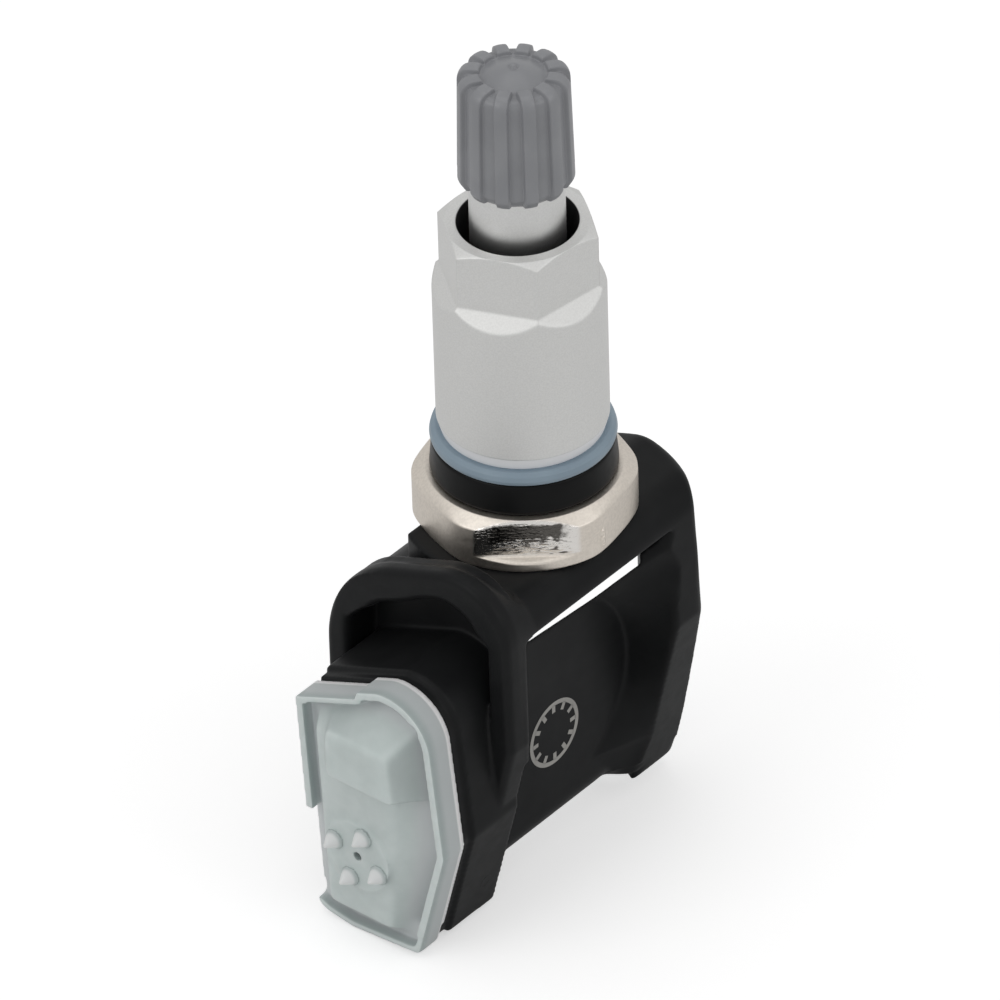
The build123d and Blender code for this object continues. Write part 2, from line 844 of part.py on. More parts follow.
def tub_foot():
    """The tub's outline where it rises from the tray."""
    Polygon(
        (-tub_foot_back, box_back_level - tub_inset / 2),
        (tub_foot_ridge, tub_foot_top),
        (tub_foot_front, tub_foot_top - tub_inset),
        (tub_foot_knee, box_knee),
        (box_front_foot - tub_inset, tub_foot_base),
        (tub_inset - box_back_foot, tub_foot_base),
        align=None,
    )


def tub_roof():
    """The outline of the tub's lower roof."""
    Polygon(
        (-tub_low_back, tub_low_top - 2 * tub_inset),
        (tub_foot_ridge, tub_low_top),
        (tub_low_front, tub_low_top - tub_inset),
        (tub_low_front, box_knee),
        (tub_low_front - tub_inset, tub_foot_base + tub_inset),
        (tub_inset - tub_low_back, tub_foot_base + tub_inset),
        align=None,
    )


def cover_outline(sketch):
    """The box's outline, stepped down along the sloping top edge."""
    box_outline(sketch)
    Polygon(
        (-box_back_top, box_back_level - lip_top_sink),
        (-lip_top_sink, box_top - (box_ridge_reach + lip_top_sink) * lip_slope - lip_top_sink),
        (0, box_top),
        (-box_back_top, box_top),
        align=None,
        mode=Mode.SUBTRACT,
    )


with BuildPart() as port_cover:
    # Tray and its wall, which is low at the back's lower half
    with BuildSketch(end_plane(-box_end)) as section:
        cover_outline(section)
    extrude(amount=cover_floor)
    with BuildSketch(end_plane(cover_floor_x)) as section:
        cover_outline(section)
        offset(amount=-cover_wall, mode=Mode.SUBTRACT)
    extrude(amount=cover_low_wall_height)
    with BuildSketch(end_plane(cover_floor_x)) as section:
        cover_outline(section)
        offset(amount=-cover_wall, mode=Mode.SUBTRACT)
        Polygon(
            (-beyond, lip_end),
            (-tub_low_back, lip_end),
            (-tub_low_back, tub_foot_base),
            (-beyond, tub_foot_base),
            align=None,
            mode=Mode.SUBTRACT,
        )
    extrude(amount=cover_wall_height)
    # Tub with slanted sides, in two heights
    with BuildSketch(end_plane(cover_floor_x)):
        tub_foot()
    with BuildSketch(end_plane(tub_low_x)):
        tub_roof()
    loft(ruled=True)
    with BuildSketch(end_plane(cover_floor_x)):
        Polygon(
            (-tub_foot_back, box_back_level - tub_inset / 2),
            (tub_foot_ridge, tub_foot_top),
            (tub_foot_front, tub_foot_top - tub_inset),
            (tub_foot_knee - tub_inset / 2, step_level),
            (-tub_foot_back + tub_inset / 2, step_level),
            align=None,
        )
    with BuildSketch(end_plane(tub_high_x)):
        Polygon(
            (-tub_high_back, tub_high_top),
            (tub_foot_ridge, tub_high_top),
            (tub_high_front, tub_high_top),
            (tub_high_front + tub_inset / 2, step_level),
            (-tub_high_back, step_level),
            align=None,
        )
    loft(ruled=True)
    # Hollow inside
    with BuildSketch(end_plane(-box_end)):
        tub_foot()
        offset(amount=-cover_skin, mode=Mode.REPLACE)
    with BuildSketch(end_plane(ceiling_x)):
        tub_roof()
        offset(amount=-cover_skin, mode=Mode.REPLACE)
    loft(ruled=True, mode=Mode.SUBTRACT)
    # Boss, prongs and the air port
    with BuildSketch(end_plane(ceiling_x)):
        with Locations((boss_reach, boss_level)):
            Circle(boss_diameter / 2)
    extrude(amount=cover_skin + boss_height)
    with BuildSketch(end_plane(tub_low_x)):
        with Locations((boss_reach, boss_level)):
            with PolarLocations(prong_circle / 2, 4, start_angle=prong_turn):
                Circle(prong_diameter / 2)
    extrude(amount=prong_height, taper=prong_taper)
    with BuildSketch(end_plane(-box_end)):
        with Locations((boss_reach, boss_level)):
            Circle(port_diameter / 2)
    extrude(amount=cover_high_height, mode=Mode.SUBTRACT)
save(port_cover, "port_cover")

# Circuit board, resting on the ledge inside the box
board_face = board_depth - box_end
with BuildPart() as circuit_board:
    with BuildSketch(end_plane(board_face)) as section:
        box_outline(section)
        offset(amount=-box_wall - board_clearance, mode=Mode.REPLACE)
    extrude(amount=-board_thickness)
save(circuit_board, "circuit_board")

# Pressure chip under the port, and the rubber tube that leads air to it
with BuildPart() as pressure_chip:
    with BuildSketch(end_plane(board_face)):
        with Locations((boss_reach, boss_level)):
            Rectangle(chip_side, chip_side)
    extrude(amount=chip_thickness)
    with BuildSketch(end_plane(board_face - chip_thickness)):
        with Locations((boss_reach, boss_level)):
            Circle(port_diameter / 2)
    extrude(amount=-chip_thickness / 2, mode=Mode.SUBTRACT)
save(pressure_chip, "pressure_chip")
with BuildPart() as port_seal:
    with BuildSketch(end_plane(board_face - chip_thickness)):
        with Locations((boss_reach, boss_level)):
            Circle(port_seal_diameter / 2)
            Circle(port_diameter / 2, mode=Mode.SUBTRACT)
    extrude(amount=board_face - chip_thickness - ceiling_x)
save(port_seal, "port_seal")

# Wake-up coil: a wound core between two end blocks
coil_level = bridge_top - coil_drop
with BuildPart() as wake_coil:
    with BuildSketch(end_plane(board_face)):
        with Locations((0, coil_level)):
            Rectangle(coil_width, coil_height)
    extrude(amount=coil_thickness)
    with BuildSketch(front_plane(-coil_width / 2 + coil_end)):
        with Locations((board_face - coil_thickness / 2, coil_level)):
            Rectangle(2 * coil_thickness, 2 * coil_height)
            Rectangle(
                coil_thickness - 2 * coil_flange, coil_height - 2 * coil_flange, mode=Mode.SUBTRACT
            )
    extrude(amount=coil_width - 2 * coil_end, mode=Mode.SUBTRACT)
save(wake_coil, "wake_coil")
with BuildPart() as coil_winding:
    with BuildSketch(front_plane(-coil_width / 2 + coil_end)):
        with Locations((board_face - coil_thickness / 2, coil_level)):
            Rectangle(coil_thickness, coil_height)
            Rectangle(
                coil_thickness - 2 * coil_flange, coil_height - 2 * coil_flange, mode=Mode.SUBTRACT
            )
    extrude(amount=coil_width - 2 * coil_end)
save(coil_winding, "coil_winding")

# Crystal in its metal can, and a group of small soldered parts
with BuildPart() as crystal_can:
    with BuildSketch(end_plane(board_face)):
        with Locations((crystal_reach, bridge_top - crystal_drop)):
            Rectangle(crystal_width, crystal_height)
    extrude(amount=crystal_thickness)
save(crystal_can, "crystal_can")
with BuildPart() as small_parts:
    with BuildSketch(end_plane(board_face)):
        with Locations((boss_reach - chip_side / 4, coil_level - chip_side + small_width)):
            with GridLocations(2 * small_width, 2 * small_height, 2, 2):
                Rectangle(small_width, small_height)
        with Locations((crystal_reach, boss_level)):
            Rectangle(small_width, small_height)
    extrude(amount=small_thickness)
save(small_parts, "small_parts")

# Antenna: a bent strip standing on the board
with BuildPart() as antenna_strip:
    with BuildSketch(end_plane(board_face)):
        with Locations((antenna_reach, bridge_top - antenna_drop)):
            Rectangle(antenna_width, antenna_thickness)
    extrude(amount=antenna_height)
    with BuildSketch(end_plane(board_face)):
        with Locations((antenna_reach, bridge_top - antenna_drop)):
            Rectangle(antenna_width - 2 * antenna_leg, 2 * antenna_thickness)
    extrude(amount=antenna_height - antenna_leg, mode=Mode.SUBTRACT)
save(antenna_strip, "antenna_strip")

# Battery in the web, with a tab on each face and potting over its back
with BuildPart() as battery_cell:
    with BuildSketch(front_plane(cell_back)):
        with Locations((cell_x, cell_level)):
            Circle(cell_radius)
    extrude(amount=cell_thickness)
    chamfer(edges(), length=cell_edge)
save(battery_cell, "battery_cell")
tab_length = cell_x + box_end - board_depth - board_thickness
for tab_name, tab_reach in (("battery_tab_front", chamber_floor), ("battery_tab_back", cell_back)):
    with BuildPart() as battery_tab:
        with BuildSketch(front_plane(tab_reach)):
            with Locations((cell_x, cell_level)):
                Rectangle(tab_length, tab_width, align=(Align.MAX, Align.CENTER))
        extrude(amount=-tab_thickness)
    save(battery_tab, tab_name)
with BuildPart() as potting_compound:
    with BuildSketch(front_plane(cell_back - tab_thickness)):
        with Locations((cell_x, cell_level)):
            Circle(chamber_radius)
    extrude(amount=web_back + potting_sink - cell_back + tab_thickness)
save(potting_compound, "potting_compound")

# Clamp screw: hollow, so that air reaches the stem, with a washer under its head
screw_seat = bridge_under - lock_washer_thickness
with BuildPart() as lock_washer:
    with BuildSketch(Plane.XY.offset(screw_seat)):
        Circle(lock_washer_diameter / 2)
        Circle(screw_diameter / 2 + seat_clearance, mode=Mode.SUBTRACT)
    extrude(amount=lock_washer_thickness)
save(lock_washer, "lock_washer")
with BuildPart() as clamp_screw:
    with BuildSketch(Plane.XY.offset(screw_seat)):
        Circle(screw_head_diameter / 2)
    extrude(amount=-screw_head_height)
    with BuildSketch(Plane.XY.offset(screw_seat)):
        Circle(screw_diameter / 2)
    extrude(amount=bridge_top + stem_screw_depth - seat_clearance - screw_seat)
    with BuildSketch(Plane.XY.offset(screw_seat - screw_head_height)):
        RegularPolygon(screw_socket_across / 2, 6, major_radius=False)
    extrude(amount=screw_socket_depth, mode=Mode.SUBTRACT)
    with BuildSketch(Plane.XY.offset(screw_seat - screw_head_height)):
        Circle(screw_bore_diameter / 2)
    extrude(amount=beyond, mode=Mode.SUBTRACT)
save(clamp_screw, "clamp_screw")

# Valve core: a body screwed into the stem, a pin with its seal, a spring and a barrel ring
core_top = stem_top - core_head_sink
core_head_foot = core_top - core_head_height
core_foot = core_head_foot - core_barrel_length
core_bore = core_barrel_diameter / 2 - core_wall
pin_radius = core_pin_diameter / 2
with BuildPart() as core_body:
    with BuildSketch(Plane.XZ):
        with BuildLine():
            Polyline(
                (core_bore, core_top),
                (core_bore_radius, core_top),
                (core_bore_radius, core_head_foot),
                (core_barrel_diameter / 2, core_head_foot),
                (core_barrel_diameter / 2, core_foot),
                (pin_radius + core_flange_gap, core_foot),
                (pin_radius + core_flange_gap, core_foot + core_wall),
                (core_bore, core_foot + core_wall),
                close=True,
            )
        make_face()
    revolve(axis=Axis.Z)
    with BuildSketch(Plane.XY.offset(core_top)):
        Rectangle(core_barrel_diameter, core_bridge_width)
    extrude(amount=-core_bridge_height)
    with BuildSketch(Plane.XY.offset(core_top)):
        Circle(pin_radius + core_clearance)
    extrude(amount=-core_bridge_height, mode=Mode.SUBTRACT)
save(core_body, "core_body")
collar_level = core_top - core_bridge_height - core_clearance
with BuildPart() as core_pin:
    with BuildSketch(Plane.XZ):
        with BuildLine():
            Polyline(
                (0, stem_top - core_pin_tip),
                (pin_radius, stem_top - core_pin_tip),
                (pin_radius, collar_level),
                (core_spring_diameter / 2, collar_level),
                (core_spring_diameter / 2, collar_level - core_pin_collar),
                (pin_radius, collar_level - core_pin_collar),
                (pin_radius, core_foot - core_seal_height),
                (core_pin_foot_diameter / 2, core_foot - core_seal_height),
                (core_pin_foot_diameter / 2, core_foot - core_seal_height - core_pin_foot_height),
                (0, core_foot - core_seal_height - core_pin_foot_height),
                close=True,
            )
        make_face()
    revolve(axis=Axis.Z)
save(core_pin, "core_pin")
with BuildPart() as core_seal:
    with BuildSketch(Plane.XZ):
        ring(pin_radius, core_seal_diameter / 2, core_foot - core_seal_height, core_foot - core_seal_gap)
    revolve(axis=Axis.Z)
save(core_seal, "core_seal")
with BuildPart() as barrel_seal:
    with BuildSketch(Plane.XZ):
        ring(core_barrel_diameter / 2, core_bore_radius, core_head_foot - barrel_seal_height, core_head_foot)
    revolve(axis=Axis.Z)
save(barrel_seal, "barrel_seal")
spring_foot = core_foot + core_wall + core_spring_wire / 2
spring_length = collar_level - core_pin_collar - core_spring_wire / 2 - spring_foot
spring_radius = core_spring_diameter / 2 - core_spring_wire / 2
with BuildPart() as core_spring:
    with BuildLine() as coil:
        Helix(spring_length / core_spring_turns, spring_length, spring_radius, center=(0, 0, spring_foot))
    with BuildSketch(Plane(origin=coil.line @ 0, z_dir=coil.line % 0)):
        RegularPolygon(core_spring_wire / 2, 8)
    sweep()
save(core_spring, "core_spring")
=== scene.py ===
# %% [markdown]
# # A tyre pressure sensor with a clamp-in valve
#
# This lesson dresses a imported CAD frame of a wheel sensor. The valve stands on a black moulded
# housing: grey cap, bare aluminium stem and sleeve nut, slate-blue washer, rubber grommet and a
# nickel-plated collar. A milky cover closes the sensor box. The frame gives the true sizes and the
# bodies that move, so every new piece is made in the frame's own metres and rides one body.

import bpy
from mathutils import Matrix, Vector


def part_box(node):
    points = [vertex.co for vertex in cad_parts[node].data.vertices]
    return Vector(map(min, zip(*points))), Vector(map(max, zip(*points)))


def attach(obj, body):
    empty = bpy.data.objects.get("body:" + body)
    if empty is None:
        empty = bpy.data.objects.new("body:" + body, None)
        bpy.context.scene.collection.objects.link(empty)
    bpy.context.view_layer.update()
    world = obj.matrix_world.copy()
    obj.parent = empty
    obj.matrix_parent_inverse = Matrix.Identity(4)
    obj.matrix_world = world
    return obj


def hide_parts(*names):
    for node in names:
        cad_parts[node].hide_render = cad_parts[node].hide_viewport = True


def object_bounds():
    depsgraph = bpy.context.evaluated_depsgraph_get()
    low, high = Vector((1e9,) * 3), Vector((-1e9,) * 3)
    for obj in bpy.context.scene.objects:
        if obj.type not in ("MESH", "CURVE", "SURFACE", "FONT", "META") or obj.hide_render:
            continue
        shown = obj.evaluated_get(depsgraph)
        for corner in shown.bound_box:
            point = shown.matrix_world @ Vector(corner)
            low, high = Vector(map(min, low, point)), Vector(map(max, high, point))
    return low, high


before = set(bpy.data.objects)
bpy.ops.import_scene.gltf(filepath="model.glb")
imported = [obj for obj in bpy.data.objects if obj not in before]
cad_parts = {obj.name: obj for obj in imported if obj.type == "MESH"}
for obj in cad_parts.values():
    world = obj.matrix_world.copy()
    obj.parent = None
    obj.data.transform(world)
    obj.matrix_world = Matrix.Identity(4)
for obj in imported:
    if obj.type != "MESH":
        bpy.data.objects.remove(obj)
cad_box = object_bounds()

# %% Tools of the trade
import math

import bmesh
import bpy
from mathutils import Matrix, Vector, bvhtree, noise

mm = 0.001
print("CAD box in mm", [round(v / mm, 2) for corner in cad_box for v in corner])

# %% [markdown]
# ## Where the viewer stands
#
# A product picture of a small part is taken from far off with a long lens, so that upright edges
# stay parallel. The camera could be aimed with a constraint. Here its three axes are written out
# from a turn, a rise and a slight roll, because that keeps the framing exact to the pixel.

# %% Camera
view_turn = math.radians(49.4)
view_rise = math.radians(37.0)
view_roll = math.radians(1.7)
stand_off = 1.0
frame_width = 83.06 * mm
aim_right = -1.952 * mm
aim_up = -5.756 * mm

level = Vector((math.cos(view_turn), -math.sin(view_turn), 0))
sight = Vector(
    (
        math.sin(view_turn) * math.cos(view_rise),
        math.cos(view_turn) * math.cos(view_rise),
        -math.sin(view_rise),
    )
)
upward = level.cross(sight)
picture_right = level * math.cos(view_roll) - upward * math.sin(view_roll)
picture_up = upward * math.cos(view_roll) + level * math.sin(view_roll)
aim = picture_right * aim_right + picture_up * aim_up

lens = bpy.data.cameras.new("long_lens")
lens.sensor_width = 36
lens.lens = lens.sensor_width * stand_off / frame_width
lens.clip_start = 0.01
lens.clip_end = 20
camera = bpy.data.objects.new("viewer", lens)
bpy.context.scene.collection.objects.link(camera)
axes = Matrix((picture_right, picture_up, -sight)).transposed().to_4x4()
camera.matrix_world = Matrix.Translation(aim - sight * stand_off) @ axes
bpy.context.scene.camera = camera
print("lens", round(lens.lens, 1), "mm, stand-off", stand_off, "m")

# %% [markdown]
# ## Writing shader maths as plain Python
#
# A material is a graph of nodes, and long graphs are hard to read when each link is made by hand.
# One small class wraps an output socket: plus, minus and times on it add a Math node, and its
# method `make` adds any other node from its type, its settings and its sockets.


# %% The socket class
class Tone:
    """An output of a material's node tree that can be used in sums."""

    def __init__(self, tree, socket=None):
        self.tree = tree
        self.socket = socket

    def make(self, kind, settings=None, sockets=None, out=0):
        """Adds a node: settings first, then socket values or links. Returns one of its outputs."""
        node = self.tree.nodes.new("ShaderNode" + kind)
        for name, value in (settings or {}).items():
            setattr(node, name, value)
        for name, value in (sockets or {}).items():
            if isinstance(value, Tone):
                self.tree.links.new(value.socket, node.inputs[name])
            else:
                node.inputs[name].default_value = value
        return Tone(self.tree, node.outputs[out] if node.outputs else None)

    def maths(self, operation, *terms):
        """A Math node on values."""
        return self.make("Math", {"operation": operation}, dict(enumerate(terms)))

    def __add__(self, other):
        return self.maths("ADD", self, other)

    __radd__ = __add__

    def __sub__(self, other):
        return self.maths("SUBTRACT", self, other)

    def __rsub__(self, other):
        return self.maths("SUBTRACT", other, self)

    def __mul__(self, other):
        return self.maths("MULTIPLY", self, other)

    __rmul__ = __mul__

    def between(self, low, high):
        """A soft step: 0 at low, 1 at high."""
        sockets = {"Value": self, "From Min": low, "From Max": high}
        return self.make("MapRange", {"interpolation_type": "SMOOTHSTEP"}, sockets)

    def blend(self, first, second):
        """A colour that goes from first to second as this value goes from 0 to 1."""
        settings = {"data_type": "RGBA"}
        sockets = {0: self, 6: self.colour(first), 7: self.colour(second)}
        return self.make("Mix", settings, sockets, out=2)

    @staticmethod
    def colour(value):
        """A colour socket as it is, or three numbers with full alpha."""
        return value if isinstance(value, Tone) else (*value, 1)


print("Tone is ready")


# %% [markdown]
# ## Light tent
#
# The part is shown in a white tent: light from all round, a little more from above and from the
# left, and nothing behind it. A single sun would give hard shadows. Three wide area lamps and a
# bright world give the soft shading, and rays that pass the part on the viewer's way or through
# clear plastic meet plain white.

# %% World
def unlit(tone):
    """1 for the viewer's rays and those that passed clear plastic: they meet plain white."""
    seen = tone.make("LightPath", out="Is Camera Ray")
    return seen.maths("MAXIMUM", seen, tone.make("LightPath", out="Is Transmission Ray"))


world = bpy.data.worlds.new("tent")
bpy.context.scene.world = world
world.use_nodes = True
world.node_tree.nodes.clear()
tent = Tone(world.node_tree)
tent_light = 0.5
tent_gloss = 0.64
plain = tent_light + (tent_gloss - tent_light) * tent.make("LightPath", out="Is Glossy Ray")
strength = tent.maths("MAXIMUM", unlit(tent), plain)
shell = tent.make("Background", None, {"Color": (1, 1, 1, 1), "Strength": strength})
tent.make("OutputWorld", None, {"Surface": shell})
bpy.context.scene.view_settings.view_transform = "Standard"
print("tent light", tent_light, "and", tent_gloss, "in gloss")


# %% Lamps
def lamp(name, side, height, ahead, size, power):
    """A square area lamp, placed by the camera's axes and turned to the part."""
    data = bpy.data.lights.new(name, "AREA")
    data.shape = "SQUARE"
    data.size = size
    data.energy = power
    thing = bpy.data.objects.new(name, data)
    bpy.context.scene.collection.objects.link(thing)
    flat = Vector((sight.x, sight.y, 0)).normalized()
    thing.location = level * side - flat * ahead + Vector((0, 0, height))
    thing.rotation_euler = (-thing.location).to_track_quat("-Z", "Y").to_euler()
    return thing


lamp("lamp_left", side=-0.55, height=0.55, ahead=0.35, size=0.5, power=0.95)
lamp("lamp_top", side=0.0, height=0.8, ahead=-0.1, size=0.6, power=0.65)
lamp("lamp_right", side=0.6, height=0.45, ahead=0.3, size=0.5, power=0.6)

# %% [markdown]
# ## Paper floor
#
# The part stands on white paper. A curved sweep could be modelled behind it; a wide flat sheet is
# enough here, because a faint glow of its own lifts it to the white of the tent where no shadow
# falls. Only the viewer's rays and a little of the gloss meet that glow, so the shadow stays.

# %% Floor
floor_level = cad_box[0][2]
reach = 3.0
paper_white = 0.8
paper_glow = 0.5
gloss_glow = 0.08
sheet = bpy.data.meshes.new("tent_floor")
corners = [(-reach, -reach), (reach, -reach), (reach, reach), (-reach, reach)]
sheet.from_pydata([(x, y, floor_level) for x, y in corners], [], [(0, 1, 2, 3)])
tent_floor = bpy.data.objects.new("tent_floor", sheet)
bpy.context.scene.collection.objects.link(tent_floor)
paper = bpy.data.materials.new("white_paper")
paper.use_nodes = True
paper.node_tree.nodes.clear()
ink = Tone(paper.node_tree)
lit = ink.make("BsdfDiffuse", None, {"Color": (paper_white, paper_white, paper_white, 1)})
strength = paper_glow * unlit(ink) + gloss_glow * ink.make("LightPath", out="Is Glossy Ray")
glow = ink.make("Emission", None, {"Color": (1, 1, 1, 1), "Strength": strength})
ink.make("OutputMaterial", None, {"Surface": ink.make("AddShader", None, {0: lit, 1: glow})})
sheet.materials.append(paper)
print("floor at", round(floor_level / mm, 2), "mm")

# %% [markdown]
# ## Turned and moulded rings
#
# Most of the valve was turned on a lathe or moulded in a round tool. A Screw modifier could spin a
# profile, but the nut and the collar have flats and the cap has ribs. So one helper spins a profile
# point by point, and a rule may pull each point in: that gives flats, ribs and threads as true
# shape. A second helper rounds a profile's corners, as no real edge is knife-sharp.


# %% Profile helpers
def rounded(points, steps=5):
    """Rounds a closed profile of (radius, height) or (radius, height, rounding) points, in mm."""
    made = []
    for i, point in enumerate(points):
        here = Vector(point[:2])
        size = point[2] if len(point) > 2 else 0
        if not size:
            made.append(here)
            continue
        before = (Vector(points[i - 1][:2]) - here).normalized()
        after = (Vector(points[(i + 1) % len(points)][:2]) - here).normalized()
        half = before.angle(after) / 2
        start = here + before * size / math.tan(half)
        end = here + after * size / math.tan(half)
        centre = here + (before + after).normalized() * size / math.sin(half)
        for k in range(steps + 1):
            spoke = (start - centre).slerp(end - centre, k / steps)
            made.append(centre + spoke.normalized() * size)
    return made


def dense(points, step, hidden=None):
    """Adds points to a closed profile so that no stretch in sight is longer than step."""
    made = []
    for i, here in enumerate(points):
        there = points[(i + 1) % len(points)]
        count = max(1, math.ceil((there - here).length / step))
        if hidden and hidden(here, there):
            count = 1
        made += [here.lerp(there, k / count) for k in range(count)]
    return made


def smooth_min(a, b, soft):
    """The smaller of two lengths, with a rounded change from one to the other."""
    share = max(0.0, soft - abs(a - b)) / soft
    return min(a, b) - share * share * soft / 4


square = [(1, 0, 0.2), (2, 0, 0.2), (2, 1, 0.2), (1, 1, 0.2)]
print("a rounded square has", len(rounded(square)), "points")


# %% The lathe
def show(name, mesh, body, *nodes):
    """Puts a mesh in the scene as a piece of a body, in place of CAD nodes."""
    piece = bpy.data.objects.new(name, mesh)
    bpy.context.scene.collection.objects.link(piece)
    mesh.shade_smooth()
    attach(piece, body)
    if nodes:
        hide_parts(*nodes)
    print(name, len(mesh.polygons), "faces on", body)
    return piece


def lathe(name, profile, columns, rule=None, start=0.0):
    """Spins a closed profile round the valve.

    A rule takes (angle, radius, height, normal) to a new (radius, height).
    """
    weld_reach = 0.0005 * mm
    sliver = 0.0002 * mm
    points, faces = [], []
    rows = len(profile)
    slopes = []
    for i, here in enumerate(profile):
        along = profile[(i + 1) % rows] - profile[i - 1]
        slopes.append(Vector((along.y, -along.x)).normalized() if along.length else Vector((1, 0)))
    for c in range(columns):
        angle = start + 2 * math.pi * c / columns
        for here, normal in zip(profile, slopes):
            r, z = rule(angle, here.x, here.y, normal) if rule else here
            points.append((r * math.cos(angle) * mm, r * math.sin(angle) * mm, z * mm))
        after = (c + 1) % columns
        for i in range(rows):
            j = (i + 1) % rows
            faces.append((c * rows + i, after * rows + i, after * rows + j, c * rows + j))
    mesh = bpy.data.meshes.new(name)
    mesh.from_pydata(points, [], faces)
    tidy = bmesh.new()
    tidy.from_mesh(mesh)
    bmesh.ops.remove_doubles(tidy, verts=tidy.verts, dist=weld_reach)
    bmesh.ops.dissolve_degenerate(tidy, edges=tidy.edges, dist=sliver)
    bmesh.ops.recalc_face_normals(tidy, faces=tidy.faces)
    tidy.to_mesh(mesh)
    tidy.free()
    return mesh


print("lathe is ready")

# %% [markdown]
# ## Valve cap
#
# The cap is moulded in grey plastic: twelve ribs of even width run up the side and over the
# shoulder as short pads, and the middle is a sunk ring with a low dome and the mark of the gate.
# The ribs could be an array of separate blocks. Pulling the grooves into one turned skin keeps the
# soft corners of a moulding.

# %% Cap sizes
front_flat = math.radians(220.6)
cap_skirt = 0.75
cap_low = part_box("valve_cap")[0].z / mm - cap_skirt
cap_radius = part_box("valve_cap")[1].x / mm
cap_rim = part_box("valve_cap")[1].z / mm - 0.6
cap_lean = 0.25
ribs = 12
half_pitch = math.pi / ribs
rib_half = 0.58
rib_edge = 0.2
rib_round = 0.07
valley_belly = 0.04
groove = 0.4
bore = 3.9
crown = 2.75
dome_foot = 2.6
dome = 0.8
crown_floor = cap_rim - groove


def soft_step(value):
    """0 below 0, 1 above 1 and an even curve between."""
    value = min(1.0, max(0.0, value))
    return value * value * (3 - 2 * value)


# %% Cap rule
def cap_rule(angle, r, z, normal):
    """Pulls the valleys between the ribs in; a valley faces the front."""
    off = (angle - front_flat + half_pitch) % (2 * half_pitch) - half_pitch
    from_rib = (half_pitch - abs(off)) * r
    depth = groove * soft_step((from_rib - rib_half + rib_round) / rib_edge)
    depth += valley_belly * min(1.0, from_rib / rib_half) ** 2
    if r <= dome_foot or (r < bore + 0.1 and z < crown_floor - 0.1):
        return r, z
    if r < crown + 0.6 and z > crown_floor - 0.1:
        return r, max(z - depth, min(z, crown_floor))
    if z < cap_low + 1:
        return r - depth * soft_step((r - bore - 0.1) / 0.3), z
    return r - normal.x * depth, z - normal.y * depth


print("cap", ribs, "ribs, grooves", groove, "mm deep")

# %% Cap skin
# Each corner of a profile has a radius, a height and, where it isn't sharp, a rounding.
cap_profile = [
    (bore, cap_low, 0.15),
    (cap_radius - 0.5, cap_low, 0.22),
    (cap_radius - 0.02, cap_low + 0.8, 0.7),
    (cap_radius - cap_lean, cap_rim, 1.2),
    (crown + 0.12, cap_rim, 0.22),
    (crown, crown_floor, 0.1),
    (dome_foot, crown_floor),
]
gate = crown_floor + dome
dome_rows = [dome_foot * (1 - k / 16) for k in range(1, 14)]
dome_rise = [dome * (1 - (r / dome_foot) ** 2) ** 1.25 for r in dome_rows]
dome_points = [Vector((r, crown_floor + rise)) for r, rise in zip(dome_rows, dome_rise)]
nipple = [
    (0.4, gate - 0.1),
    (0.27, gate - 0.08),
    (0.22, gate + 0.09),
    (0.14, gate + 0.17),
    (0, gate + 0.18),
]
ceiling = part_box("cap_gasket")[1].z / mm
inside = [(0, ceiling), (bore - 0.2, ceiling), (bore, ceiling - 0.2)]
outline = rounded(cap_profile, 8) + dome_points + [Vector(point) for point in nipple + inside]


def in_cap(a, b):
    """Whether a stretch of the profile lies inside the cap."""
    return max(a.x, b.x) < bore + 0.01 and max(a.y, b.y) < ceiling + 0.01


cap_mesh = lathe("cap_ribbed", dense(outline, 0.2, in_cap), 576, cap_rule)
cap_piece = show("cap_ribbed", cap_mesh, "cap", "valve_cap")

# %% [markdown]
# ## Stem with its threads
#
# The stem is a turned aluminium bar. Two threads are cut on it: a coarse one under the nut and a
# fine one for the cap. A thread can be a separate helix swept round the bar; here the lathe's rule
# lowers the skin along a helix, so crest and root belong to one closed bar.

# %% Stem
stem_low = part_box("valve_stem")[0].z / mm
stem_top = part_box("valve_stem")[1].z / mm
stem_radius = 4.0
nut_thread = 4.6
cap_thread = 3.85
thread_reach = 14.4
thread_start = stem_low + 5.2
nut_pitch = 1.0
nut_thread_depth = 0.5
cap_thread_foot = stem_top - 7.6
cap_pitch = 0.794
cap_thread_depth = 0.42
core_bore = 2.65
core_floor = stem_top - 11.0
air_bore = 1.5
screw_bore = 2.5
screw_floor = stem_low + 7.0


def helix(angle, z, pitch):
    """How deep a point lies in a thread: 0 at the crest, 1 at the root."""
    place = (z / pitch - angle / (2 * math.pi)) % 1.0
    return min(1.0, max(0.0, 1.6 * (1 - abs(2 * place - 1)) - 0.3))


def stem_rule(angle, r, z, normal):
    """Cuts both threads; each runs out softly at its ends."""
    if r > nut_thread - 0.01 and thread_start < z < thread_reach - 0.1:
        fade = min(1.0, (z - thread_start) / 0.6, (thread_reach - 0.1 - z) / 0.6)
        return r - nut_thread_depth * fade * helix(angle, z, nut_pitch), z
    if abs(r - cap_thread) < 0.01 and cap_thread_foot + 0.2 < z < stem_top - 0.4:
        fade = min(1.0, (z - cap_thread_foot - 0.2) / 0.5, (stem_top - 0.4 - z) / 0.4)
        return r - cap_thread_depth * fade * helix(angle, z, cap_pitch), z
    return r, z


